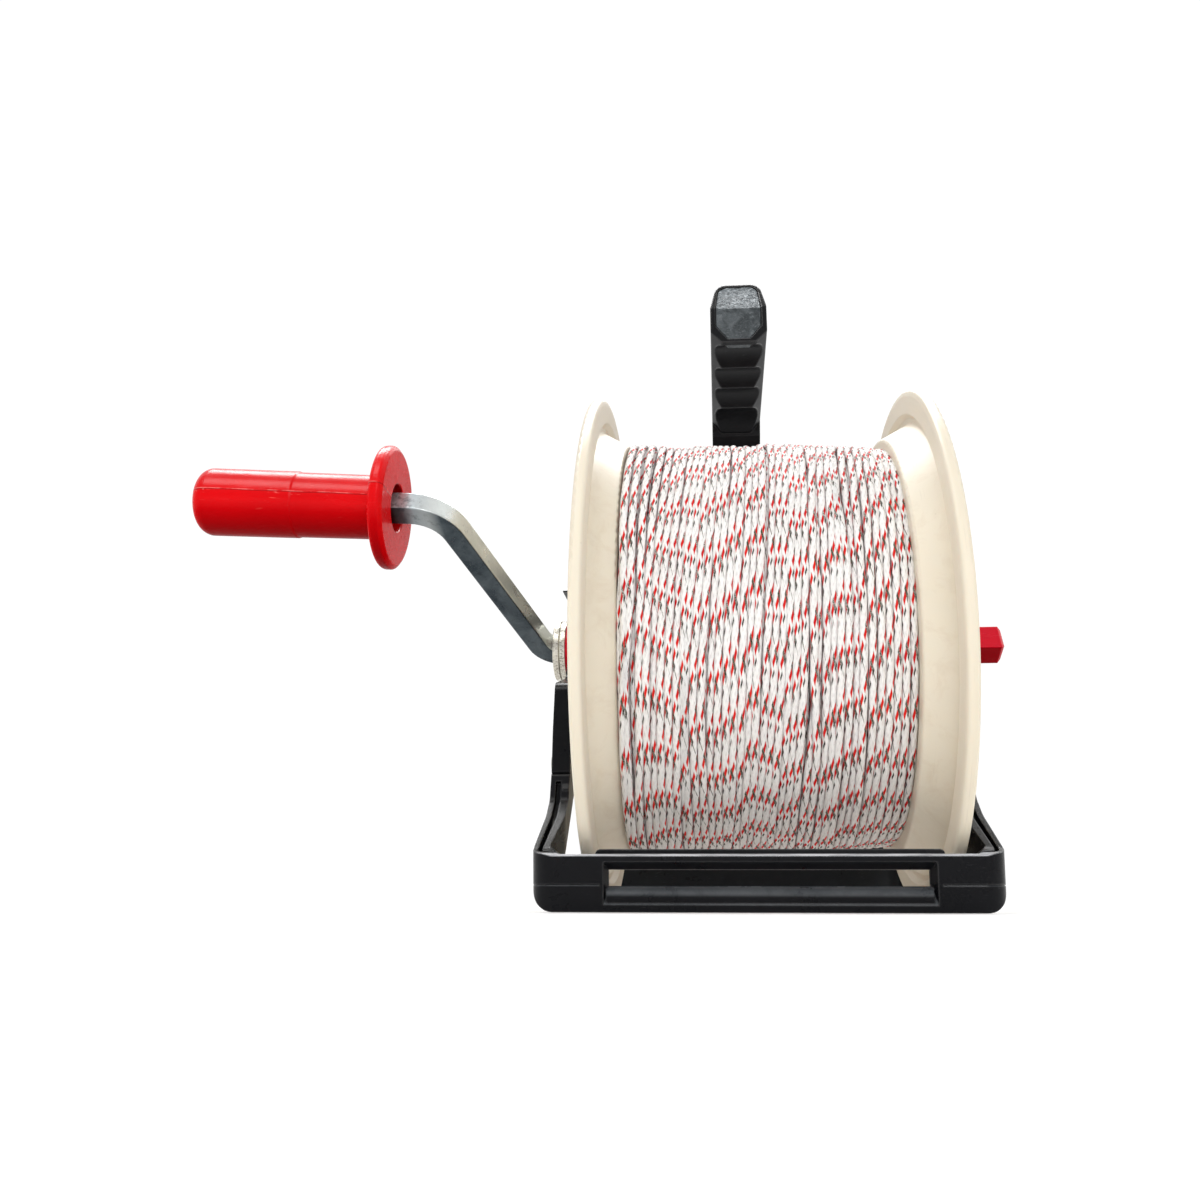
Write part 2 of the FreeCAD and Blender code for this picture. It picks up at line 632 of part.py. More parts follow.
def guide_band(off_out, off_in):
    """Leaning band between two such outlines."""
    outer, inner = guide_line(off_out), guide_line(off_in)
    f = face_xy(outer + inner[::-1], 0.0)
    return f.extrude(V(0, -lean * 60.0, 60.0))


def guide():
    side_pts = [(-40.6, 47.5, 0.8), (-42.4, 37.4, 4.0), (-60.2, 20.3, 4.0), (-67.45, bar_top_z, 1.5), (-62.9, -3.0), (-55.0, -3.0), (-55.4, 7.0, 3.0), (-31.2, 38.5, 0.8)]
    strip = plate_yz(side_pts, guide_x0 - 1, guide_x1 + 1)
    s = guide_band(0.0, bar_t).common(strip)
    # the lower corners are rounded seen from the front
    front = [(guide_x0 - 0.03, 70.0), (guide_x0 + 1.55, rest_z, 7.0), (guide_x1 - 2.05, rest_z, 7.0), (guide_x1 + 1.32, 70.0)]
    s = s.common(Part.Face(wire_from(front, lambda a, b: V(a, -90.0, b))).extrude(V(0, 80, 0)))
    # the rails and the bar itself are flat on top between their corners
    flat = [(guide_x0 + 6.6, 40.0), (guide_x0 + 6.6, bar_top_z + 2.6), (guide_x0 + 10.0, bar_top_z, 2.5), (guide_x1 - 10.0, bar_top_z, 2.5), (guide_x1 - 6.6, bar_top_z + 2.6), (guide_x1 - 6.6, 40.0)]
    s = s.cut(Part.Face(wire_from(flat, lambda a, b: V(a, -75.0, b))).extrude(V(0, 17.2, 0)))
    # channel along the top between the outer and the inner lip
    chan = guide_band(2.2, 4.4).common(plate_yz([(-85.0, 15.4), (-61.0, 15.4, 2.0), (-40.1, 35.6, 1.5), (-38.8, 43.6), (-50.0, 46.0), (-85.0, 60.0)], guide_x0 - 1, guide_x1 + 1))
    s = s.cut(chan)
    # fine parting line round the corners
    line = guide_band(-1.0, 0.28).common(box(guide_x0 - 2, guide_x1 + 2, -90, -40, 9.15, 9.45))
    line = line.cut(box(rx0 - 1.2, rx1 + 1.2, -90, -40, 0, 20))
    s = s.cut(line)
    return s


# wire window, and the bevelled recess round it
wx0, wx1 = -51.6, 48.2
wz0, wz1 = 9.0, 13.9
rx0, rx1 = wx0 - 1.4, wx1 + 1.9
rz0, rz1 = 2.6, 16.4
gd = guide()


def front_y(z):
    return -63.5 - lean * z


window = Part.makeBox(wx1 - wx0, 40, wz1 - wz0, V(wx0, -85, wz0))


def rect_at(x0, x1, z0, z1, off):
    return [V(x0, front_y(z0) + off, z0), V(x1, front_y(z0) + off, z0), V(x1, front_y(z1) + off, z1), V(x0, front_y(z1) + off, z1)]


def loft_rect(a, b):
    wa = Part.makePolygon(a + [a[0]])
    wb = Part.makePolygon(b + [b[0]])
    return Part.makeLoft([wa, wb], True, True)


bevel = loft_rect(rect_at(rx0, rx1, rz0, rz1, -0.4), rect_at(wx0, wx1, wz0, wz1, 3.4))
back_bevel = loft_rect(rect_at(wx0, wx1, wz0, wz1, 5.2), rect_at(rx0, rx1, wz0 - 2.5, wz1 + 2.5, 8.6))
gd = gd.cut([window, bevel, back_bevel])
# rounded sill under the window
sill_c = (front_y(5.6) + 3.4, 5.6)
sill = Part.makeCylinder(3.2, wx1 - wx0 + 1.0, V(wx0 - 0.5, sill_c[0], sill_c[1]), V(1, 0, 0))
gd = gd.fuse(sill)
# raised edge along the back of the bar's top
edge_z = bar_top_z + 1.7
edge = [(-56.0, bar_top_z - 2.0), (-56.0, edge_z, 1.7), (53.4, edge_z, 1.7), (53.4, bar_top_z - 2.0)]
raised = Part.Face(wire_from(edge, lambda a, b: V(a, -62.1, b))).extrude(V(0, 2.3, 0))
gd = gd.fuse(raised)
tongues = both(tongue(fe_out, fe_in, f_tongue_dir, 17.0))
gd = gd.fuse(tongues).removeSplitter()
for b in both(cyl_x(xo - 1, xi + 1, f_screw[0], f_screw[1], 2.05)):
    gd = gd.cut(b)
add("front_guide", gd)

# ---------------------------------------------------------------- rear foot
foot_front, foot_back = 84.0, 92.0        # front and back of the foot bar


def foot():
    f = u_face(foot_back, 20.0, frame_half, frame_half - rail_t, 8.0, 10.0, 5.5)
    tall = f.extrude(V(0, 0, 60.0))
    side_pts = [(re_out[0], re_out[1], 0.6), (foot_back + 0.6, 20.6, 3.0), (foot_back - 1.5, rest_z, 1.0), (foot_front - 3.5, rest_z, 1.0), (foot_front - 4.6, 9.6, 3.0), (re_in[0], re_in[1], 0.6)]
    strip = plate_yz(side_pts, fl - 1, fr + 1)
    s = tall.common(strip)
    return s


ft = foot()
# two shallow panels in the bar's back, a rib between them
for x0, x1 in ((frame_mid - 60.0, frame_mid - 6.0), (frame_mid + 6.0, frame_mid + 60.0)):
    ft = ft.cut(box(x0, x1, foot_back - 2.2, foot_back + 1, 4.0, 18.6))
ft = ft.fuse(both(tongue(re_out, re_in, r_tongue_dir, 17.0))).removeSplitter()
for b in both(cyl_x(xo - 1, xi + 1, r_screw[0], r_screw[1], 2.05)):
    ft = ft.cut(b)
add("rear_foot", ft)

# ---------------------------------------------------------------- handle yoke
yoke_out = 178.0


def to_arm(shape):
    """Place a shape drawn with x across, y along the arm and z across it."""
    m = FreeCAD.Matrix(1, 0, 0, 0,
                       0, uy, py_, 0,
                       0, uz, pz_, axle_z,
                       0, 0, 0, 1)
    return shape.transformed(m)


def yoke_band():
    f = u_face(yoke_out, arm_end, frame_half, frame_half - 6.5, 8.0, 14.0, 8.0)
    s = f.extrude(V(0, 0, 2 * arm_half))
    s.translate(V(0, 0, -arm_half))
    # channel round the outside, between the lips
    g = u_face(yoke_out + 1, arm_end + 3.0, frame_half + 1, frame_half - 1.8, 2.8, 15.0, 12.6)
    g = g.extrude(V(0, 0, 2 * arm_half - 5.2))
    g.translate(V(0, 0, -arm_half + 2.6))
    s = s.cut(g)
    return to_arm(s)


yoke = yoke_band()


def hx(points, y):
    return Part.Face(wire_from(points, lambda a, b: V(a + handle_mid, y, b)))


hw, tw = handle_w / 2, handle_top_w / 2
facet_z = 267.0           # where the two facets of the handle's end meet
section = [(-7.9, handle_z0, 0.8), (7.9, handle_z0, 0.8), (hw, handle_z0 + 5.2, 2.0), (hw, handle_z0 + 19.0, 7.0), (tw, handle_z1, 7.0), (-tw, handle_z1, 7.0), (-hw, handle_z0 + 19.0, 7.0), (-hw, handle_z0 + 5.2, 2.0)]
hbody = hx(section, handle_y0).extrude(V(0, handle_y1 + 24.0 - handle_y0, 0))
# side view of the handle and its root on the yoke
yb = on_arm(yoke_out, arm_half)
yc_ = on_arm(yoke_out, -arm_half)
yd = on_arm(yoke_out - 8.0, -arm_half)
ya = on_arm(yoke_out - 8.0, arm_half)
side_pts = [(handle_y0, handle_z0 - 0.0), (104.5, handle_z0, 6.0), (ya[0] - 0.6, ya[1] + 2.0, 3.0), (ya[0] + 2.5, ya[1] - 5.0), (yd[0] + 2.0, yd[1] + 1.0), (yc_[0], yc_[1], 1.0),
            (yc_[0] + 8.0, yc_[1] + 8.0, 5.0), (141.5, 262.0, 14.0), (130.0, handle_z1, 20.0), (18.8, handle_z1, 1.6), (handle_y0, facet_z, 1.6)]
strip = plate_yz(side_pts, handle_mid - 20, handle_mid + 20)
root = plate_yz([(101.0, handle_z0 + 6.0), (104.5, handle_z0 + 1.0, 3.0), (ya[0] - 0.6, ya[1] + 2.0, 3.0), (ya[0] + 2.5, ya[1] - 5.0), (yd[0] + 2.0, yd[1] + 1.0), (yc_[0], yc_[1], 1.0),
                 (yc_[0] + 8.0, yc_[1] + 8.0, 5.0), (141.0, 262.0, 10.0), (136.0, 268.0, 2.0), (104.0, 268.0)], handle_mid - hw, handle_mid + hw)
root = fillet_where(root, 3.0, lambda e: e.BoundBox.XLength < 1e-6 and e.BoundBox.YMin > 120 and e.BoundBox.ZLength > 8)
handle = hbody.common(strip).fuse(root).removeSplitter()
# finger grooves, scalloped between the crests
cuts = []
for a, b in zip(crest_y[:-1], crest_y[1:]):
    w = (b - a) / 2.0
    d = 3.6
    r = (w * w + d * d) / (2 * d)
    cuts.append(Part.makeCylinder(r, 60, V(handle_mid - 30, (a + b) / 2.0, handle_z0 + d - r), V(1, 0, 0)))
handle = handle.cut(cuts)
# pocket in the free end, closed by the plug
inset = 2.5
psec = [(-5.2, handle_z0 + 1.8, 0.8), (5.2, handle_z0 + 1.8, 0.8), (hw - inset, handle_z0 + 8.4, 1.2), (hw - inset, handle_z0 + 19.0, 3.0), (tw - 0.9, handle_z1 - 1.9, 5.0), (-tw + 0.9, handle_z1 - 1.9, 5.0), (-hw + inset, handle_z0 + 19.0, 3.0), (-hw + inset, handle_z0 + 8.4, 1.2)]
pocket = hx(psec, handle_y0 - 5).extrude(V(0, 5 + 9.0, 0))
cavity_sec = [(-4.0, handle_z0 + 8.5, 2.0), (4.0, handle_z0 + 8.5, 2.0), (8.5, handle_z0 + 14.0, 2.0), (8.5, handle_z1 - 7.5, 2.5), (-8.5, handle_z1 - 7.5, 2.5), (-8.5, handle_z0 + 14.0, 2.0)]
cavity = hx(cavity_sec, handle_y0 + 7.5).extrude(V(0, 74.5, 0))
handle = handle.cut([pocket, cavity])
yk = yoke.fuse(handle).removeSplitter()
yk = yk.fuse(both(tongue(yoke_seam[0], yoke_seam[1], u_down, 22.0))).removeSplitter()
for b in both(cyl_x(xo - 1, xi + 1, y_screw[0], y_screw[1], 2.05)):
    yk = yk.cut(b)
add("handle_yoke", yk)

# plug: fills the pocket, its two facets just inside the handle's end
g = 0.25
plug_sec = [(-5.2 + g, handle_z0 + 1.8 + g, 0.8), (5.2 - g, handle_z0 + 1.8 + g, 0.8), (hw - inset - g, handle_z0 + 8.4 + g, 1.2), (hw - inset - g, handle_z0 + 19.0, 3.0), (tw - 0.9 - g, handle_z1 - 1.9 - g, 4.8), (-tw + 0.9 + g, handle_z1 - 1.9 - g, 4.8), (-hw + inset + g, handle_z0 + 19.0, 3.0), (-hw + inset + g, handle_z0 + 8.4 + g, 1.2)]
plug = hx(plug_sec, handle_y0 - 5).extrude(V(0, 5 + 8.6, 0))
cut_pts = [(handle_y0 + 0.5, handle_z0 - 5), (handle_y0 + 22.0, handle_z0 - 5), (handle_y0 + 22.0, handle_z1 + 5), (18.8 + 2.4, handle_z1 + 5), (18.8 + 0.4, handle_z1 - 0.2), (handle_y0 + 0.5, facet_z, 0.8)]
plug = plug.common(plate_yz(cut_pts, handle_mid - 20, handle_mid + 20))
add("handle_end_plug", plug)

# ---------------------------------------------------------------- drum lock
# Finger lever outside the left side frame, pawl inside it, both on one short shaft.
lv_x0, lv_x1 = xo - 3.1, xo - 0.35
lp = lock_pivot
lock_tip = (-11.3, 123.1)
lever_pts = [(lock_tip[0], lock_tip[1], 0.3), (1.0, 123.3, 3.0), (20.0, 125.6, 20.0), (37.0, 137.2, 6.0), (lp[0] + 5.6, lp[1] - 5.2, 5.0),
             (lp[0] + 5.6, lp[1] + 5.2, 5.0), (lp[0] - 5.6, lp[1] + 6.6, 5.0), (29.0, 138.4, 12.0), (0.0, 126.7, 3.0)]
lever = plate_yz(lever_pts, lv_x0, lv_x1)
lever = lever.fuse(cyl_x(lv_x0 - 0.9, lv_x1, lp[0], lp[1], 6.4))
lever = lever.fuse(cyl_x(lv_x1 - 0.5, xi + 0.1, lp[0], lp[1], lock_shaft_r))
sq = 2.5                                  # half side of the square end that carries the pawl
lever = lever.fuse(box(xi, xi + 2.7, lp[0] - sq, lp[0] + sq, lp[1] - sq, lp[1] + sq)).removeSplitter()
lever = fillet_where(lever, 0.6, lambda e: e.BoundBox.XLength < 1e-6 and abs(e.BoundBox.XMin - lv_x0) < 1e-3 and e.BoundBox.YMax < lp[0] - 4.0 and e.BoundBox.YLength > 8.0)
lever = lever.cut(cyl_x(xi - 8.0, xi + 4, lp[0], lp[1], 1.2))
add("drum_lock_lever", lever)

pw_x0, pw_x1 = xi + 0.3, xi + 3.0         # plate of the pawl
peg = (-11.91, 137.73)                    # where the peg rests, 6.6 mm clear of the notched ring
peg_r = 2.5
pawl_pts = [(lp[0] + 5.0, lp[1] - 6.0, 5.5), (lp[0] + 5.0, lp[1] + 6.0, 5.5), (lp[0] - 8.0, lp[1] + 6.2, 12.0), (8.0, 143.6, 30.0), (peg[0] - 5.2, peg[1] + 4.6, 4.2),
            (peg[0] - 4.6, peg[1] - 4.8, 4.2), (8.0, 134.2, 30.0), (lp[0] - 8.0, lp[1] - 6.6, 12.0)]
pawl = plate_yz(pawl_pts, pw_x0, pw_x1)
pawl = pawl.fuse(cyl_x(pw_x0, -58.4, peg[0], peg[1], peg_r)).removeSplitter()
pawl = pawl.cut(box(pw_x0 - 1, pw_x1 + 1, lp[0] - sq - 0.03, lp[0] + sq + 0.03, lp[1] - sq - 0.03, lp[1] + sq + 0.03))
add("lock_pawl", pawl)
add("lock_pawl_screw", pan_screw(V(pw_x1 + 0.02, lp[0], lp[1]), V(-1, 0, 0), 4.2, 1.5, 1.2, 8.5, recess=0.8))

# ---------------------------------------------------------------- write the pieces
shift = V(axle_x, axle_y, -rest_z)
lo = [1e9] * 3
hi = [-1e9] * 3
for name in sorted(nodes):
    s = nodes[name].copy()
    s.translate(shift)
    if not s.isValid():
        print("NOT VALID", name)
    b = s.optimalBoundingBox(False, False)
    lo = [min(lo[0], b.XMin), min(lo[1], b.YMin), min(lo[2], b.ZMin)]
    hi = [max(hi[0], b.XMax), max(hi[1], b.YMax), max(hi[2], b.ZMax)]
    s.exportStep("parts/%s.step" % name)
    print("%-22s solids %d  volume %9.1f  x %.1f..%.1f  y %.1f..%.1f  z %.1f..%.1f" % (
        name, len(s.Solids), s.Volume, b.XMin, b.XMax, b.YMin, b.YMax, b.ZMin, b.ZMax))
print("box low", [round(v, 3) for v in lo], "high", [round(v, 3) for v in hi])
print("centre offset", round((lo[0] + hi[0]) / 2, 3), round((lo[1] + hi[1]) / 2, 3))
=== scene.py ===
import math

import bmesh
import bpy
import numpy as np
from mathutils import Matrix, Vector


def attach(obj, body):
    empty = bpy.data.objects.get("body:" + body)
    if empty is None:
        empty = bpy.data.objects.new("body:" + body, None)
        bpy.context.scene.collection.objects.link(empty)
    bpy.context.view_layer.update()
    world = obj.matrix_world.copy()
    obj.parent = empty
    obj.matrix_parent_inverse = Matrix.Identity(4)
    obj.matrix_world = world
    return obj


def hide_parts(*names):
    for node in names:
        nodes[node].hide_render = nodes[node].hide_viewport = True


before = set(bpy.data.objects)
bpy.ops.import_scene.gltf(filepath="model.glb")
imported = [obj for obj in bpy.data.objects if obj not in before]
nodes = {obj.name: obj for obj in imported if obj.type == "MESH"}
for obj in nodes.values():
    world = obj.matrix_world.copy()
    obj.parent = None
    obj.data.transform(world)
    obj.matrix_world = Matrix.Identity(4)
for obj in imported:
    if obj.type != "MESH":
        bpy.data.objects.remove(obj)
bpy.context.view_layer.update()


MM = 0.001
AXLE = Vector((0.04974, -0.02085, 0.09990))      # middle of the drum on the axle line
CRANK_UP = math.radians(24.74)
GRIP_AT = Vector((-0.07631, -0.09371, 0.13347))     # a point on the axis of the hand grip
GRIP_DIR = Vector((-0.99701, -0.07018, 0.03234))
SEAM_AT = math.radians(1.0)                     # the grip's parting line, above the front
THREAD_SIDE = 1.0                               # which neighbour of the red strand carries the dark thread

# ------------------------------------------------------------------ node helpers


class Mat:
    """Small helper around a material's node tree."""

    def __init__(self, name):
        self.m = bpy.data.materials.new(name)
        self.m.use_nodes = True
        self.t = self.m.node_tree
        self.t.nodes.clear()
        self.out = self.t.nodes.new("ShaderNodeOutputMaterial")
        self.p = self.t.nodes.new("ShaderNodeBsdfPrincipled")
        self.t.links.new(self.p.outputs[0], self.out.inputs[0])
        self.x = 0

    def n(self, kind, **kw):
        node = self.t.nodes.new(kind)
        node.location = (-300 - 20 * self.x, -20 * self.x)
        self.x += 1
        for k, v in kw.items():
            setattr(node, k, v)
        return node

    def link(self, a, b):
        self.t.links.new(a, b)

    def set(self, **kw):
        names = {"rough": "Roughness", "metal": "Metallic", "ior": "IOR", "spec": "Specular IOR Level", "coat": "Coat Weight",
                 "coat_rough": "Coat Roughness", "sss": "Subsurface Weight", "sss_scale": "Subsurface Scale", "sheen": "Sheen Weight",
                 "sheen_rough": "Sheen Roughness", "aniso": "Anisotropic"}
        for k, v in kw.items():
            self.p.inputs[names[k]].default_value = v
        return self

    def coords(self, scale=(1, 1, 1), rot=(0, 0, 0), what="Object", loc=(0, 0, 0)):
        tc = self.n("ShaderNodeTexCoord")
        mp = self.n("ShaderNodeMapping")
        mp.inputs["Scale"].default_value = scale
        mp.inputs["Rotation"].default_value = rot
        mp.inputs["Location"].default_value = loc
        self.link(tc.outputs[what], mp.inputs["Vector"])
        return mp.outputs["Vector"]

    def noise(self, vec, scale, detail=4.0, rough=0.55, dist=0.0):
        nz = self.n("ShaderNodeTexNoise")
        nz.inputs["Scale"].default_value = scale
        nz.inputs["Detail"].default_value = detail
        nz.inputs["Roughness"].default_value = rough
        nz.inputs["Distortion"].default_value = dist
        self.link(vec, nz.inputs["Vector"])
        return nz.outputs["Fac"]

    def voronoi(self, vec, scale, feature="F1"):
        v = self.n("ShaderNodeTexVoronoi", feature=feature)
        v.inputs["Scale"].default_value = scale
        self.link(vec, v.inputs["Vector"])
        return v.outputs["Distance"]

    def ramp(self, fac, stops, interp="LINEAR"):
        r = self.n("ShaderNodeValToRGB")
        r.color_ramp.interpolation = interp
        while len(r.color_ramp.elements) < len(stops):
            r.color_ramp.elements.new(0.5)
        for e, (pos, col) in zip(r.color_ramp.elements, stops):
            e.position = pos
            e.color = (*col, 1.0) if len(col) == 3 else col
        self.link(fac, r.inputs["Fac"])
        return r.outputs["Color"]

    def remap(self, fac, a, b, c, d):
        r = self.n("ShaderNodeMapRange")
        for i, v in zip(("From Min", "From Max", "To Min", "To Max"), (a, b, c, d)):
            r.inputs[i].default_value = v
        self.link(fac, r.inputs["Value"])
        return r.outputs["Result"]

    def math(self, op, a, b=None, c=None, clamp=False):
        m = self.n("ShaderNodeMath", operation=op)
        m.use_clamp = clamp
        for i, v in enumerate((a, b, c)):
            if v is None:
                continue
            if isinstance(v, (int, float)):
                m.inputs[i].default_value = v
            else:
                self.link(v, m.inputs[i])
        return m.outputs[0]

    def mix(self, fac, a, b, blend="MIX"):
        m = self.n("ShaderNodeMix", data_type="RGBA", blend_type=blend)
        for name, v in (("Factor", fac), ("A", a), ("B", b)):
            sock = [s for s in m.inputs if s.name == name and (s.type == "RGBA" or (name == "Factor" and s.type == "VALUE"))][0]
            if isinstance(v, (int, float)):
                sock.default_value = v
            elif isinstance(v, tuple):
                sock.default_value = (*v, 1.0) if len(v) == 3 else v
            else:
                self.link(v, sock)
        return [s for s in m.outputs if s.type == "RGBA"][0]

    def bump(self, height, strength, distance, after=None):
        b = self.n("ShaderNodeBump")
        b.inputs["Strength"].default_value = strength
        b.inputs["Distance"].default_value = distance
        self.link(height, b.inputs["Height"])
        if after is not None:
            self.link(after, b.inputs["Normal"])
        return b.outputs["Normal"]

    def edge(self, radius):
        """Normal of a softly rounded edge."""
        b = self.n("ShaderNodeBevel")
        b.samples = 6
        b.inputs["Radius"].default_value = radius
        return b.outputs["Normal"]

    def color(self, c):
        if isinstance(c, tuple):
            self.p.inputs["Base Color"].default_value = (*c, 1.0)
        else:
            self.link(c, self.p.inputs["Base Color"])

    def rough(self, r):
        self.link(r, self.p.inputs["Roughness"])

    def normal(self, n):
        self.link(n, self.p.inputs["Normal"])


def black_plastic(name, base=(0.0036, 0.0037, 0.0046), rough=(0.24, 0.36), grain=1.0, spec=0.115, edge=0.8, up_gloss=0.06, painted_top_light=(0.0170, 0.0166, 0.0158), painted_lip_light=False):
    m = Mat(name)
    v = m.coords()
    big = m.noise(v, 22, 3, 0.5)
    fine = m.noise(v, 900, 3, 0.6)
    haze = m.noise(v, 75, 5, 0.65, 0.4)
    col = m.mix(m.remap(haze, 0.42, 0.72, 0.0, 0.5), base, tuple(c * 1.5 + 0.0015 for c in base))
    # fine pale scuffs, strongest where the haze is
    st = m.noise(m.coords(scale=(1, 1, 7), rot=(0.5, 0.2, 0.9)), 330, 2, 0.5)
    scuff = m.math("MULTIPLY", m.remap(st, 0.64, 0.74, 0.0, 1.0), m.remap(big, 0.48, 0.64, 0.0, 0.6), clamp=True)
    col = m.mix(scuff, col, tuple(c * 3.0 + 0.016 for c in base))
    # dust grains
    dust = m.math("MULTIPLY", m.remap(m.voronoi(v, 520), 0.05, 0.09, 1.0, 0.0), m.remap(haze, 0.58, 0.72, 0.0, 0.4), clamp=True)
    col = m.mix(dust, col, (0.11, 0.108, 0.10))
    # edges are rubbed glossy; the up-facing rounded edges also get a painted highlight in their colour
    soft = m.edge(edge * MM)
    tc = m.n("ShaderNodeTexCoord")
    same = m.n("ShaderNodeVectorMath", operation="DOT_PRODUCT")
    m.link(soft, same.inputs[0])
    m.link(tc.outputs["Normal"], same.inputs[1])
    rub = m.math("MULTIPLY", m.remap(same.outputs["Value"], 0.995, 0.90, 0.0, 1.0), m.remap(big, 0.30, 0.60, 0.55, 1.0))
    up = m.n("ShaderNodeSeparateXYZ")
    m.link(soft, up.inputs[0])
    painted_highlight_up = m.remap(up.outputs["Z"], 0.30, 0.62, 0.0, 1.0)
    # up-facing surfaces get a lighter colour: painted light from above
    col = m.mix(m.remap(up.outputs["Z"], 0.16, 0.50, 0.0, 0.85), col, painted_top_light)
    # painted highlight: the up-facing rounded edges are coloured lighter
    col = m.mix(m.math("MULTIPLY", m.math("MULTIPLY", rub, painted_highlight_up), m.remap(haze, 0.34, 0.62, 0.35, 0.75)), col, (0.20, 0.205, 0.215))
    if painted_lip_light:
        # a painted highlight on the rounded top edge in front, and painted sheen makes the rounded sill of the window
        # greyer
        at = m.n("ShaderNodeSeparateXYZ")
        m.link(tc.outputs["Object"], at.inputs[0])
        band = m.math("MULTIPLY", m.remap(up.outputs["Z"], 0.12, 0.28, 0.0, 1.0), m.remap(up.outputs["Z"], 0.97, 1.0, 1.0, 0.6))
        edge_at = m.math("MULTIPLY", m.remap(at.outputs["Z"], 0.0150, 0.0156, 0.0, 1.0), m.remap(at.outputs["Z"], 0.0176, 0.0182, 1.0, 0.0))
        edge_at = m.math("MULTIPLY", edge_at, m.remap(at.outputs["Y"], -0.0855, -0.0845, 1.0, 0.0))
        streak = m.noise(m.coords(scale=(0.10, 1.0, 1.0)), 900, 3, 0.6)
        painted_lip_highlight = m.math("MULTIPLY", m.math("MULTIPLY", band, edge_at), m.remap(streak, 0.36, 0.60, 0.55, 1.0), clamp=True)
        # painted sheen: the rounded sill of the window is coloured greyer
        sill = m.math("MULTIPLY", m.remap(at.outputs["Z"], 0.0090, 0.0105, 1.0, 0.0), m.remap(up.outputs["Z"], 0.02, 0.34, 0.0, 1.0))
        col = m.mix(sill, col, m.mix(m.remap(haze, 0.36, 0.64, 0.0, 1.0), (0.044, 0.048, 0.053), (0.078, 0.083, 0.088)))
        # painted highlight along the rounded top edge in front
        col = m.mix(painted_lip_highlight, col, (0.56, 0.57, 0.59))
    m.color(col)
    m.rough(m.math("SUBTRACT", m.math("ADD", m.remap(haze, 0.3, 0.75, rough[0], rough[1]), m.math("MULTIPLY", scuff, 0.20)), m.math("MULTIPLY", rub, 0.06)))
    n1 = m.bump(fine, 0.16 * grain, 0.00012, soft)
    m.normal(m.bump(big, 0.07, 0.0012, n1))
    m.link(m.math("ADD", m.math("ADD", m.math("MULTIPLY", rub, 0.55), spec), m.remap(up.outputs["Z"], 0.08, 0.50, 0.0, up_gloss)), m.p.inputs["Specular IOR Level"])
    m.set(ior=1.49)
    return m.m


def plug_plastic(name):
    """Rough grey plug, its upper facet torn, coloured lighter as painted light from above, with painted glints."""
    m = Mat(name)
    v = m.coords()
    tear = m.noise(m.coords(scale=(1.0, 1.6, 1.6), rot=(0.3, 0.4, 0.2)), 420, 6, 0.72, 1.2)
    big = m.noise(v, 130, 4, 0.6, 0.8)
    fine = m.noise(v, 1500, 3, 0.6)
    tc = m.n("ShaderNodeTexCoord")
    sep = m.n("ShaderNodeSeparateXYZ")
    m.link(tc.outputs["Normal"], sep.inputs[0])
    top = m.remap(sep.outputs["Z"], 0.12, 0.26, 0.0, 1.0)
    low_col = m.mix(m.remap(big, 0.42, 0.64, 0.0, 1.0), (0.020, 0.026, 0.029), (0.080, 0.092, 0.098))
    low_col = m.mix(m.remap(tear, 0.54, 0.68, 0.0, 0.6), low_col, (0.20, 0.22, 0.23))
    # the upper facet's colour is painted light from above, its brightest specks painted glints
    top_col_painted_light = m.mix(m.remap(tear, 0.42, 0.60, 0.0, 1.0), (0.050, 0.058, 0.064), (0.27, 0.30, 0.315))
    top_col_painted_light = m.mix(m.remap(tear, 0.58, 0.68, 0.0, 0.8), top_col_painted_light, (0.72, 0.75, 0.77))
    m.color(m.mix(top, low_col, top_col_painted_light))
    m.rough(m.remap(tear, 0.35, 0.65, 0.22, 0.48))
    n1 = m.bump(fine, 0.35, 0.00015, m.edge(0.6 * MM))
    m.normal(m.bump(tear, 0.55, 0.0005, n1))
    m.set(spec=0.28, ior=1.49)
    return m.m


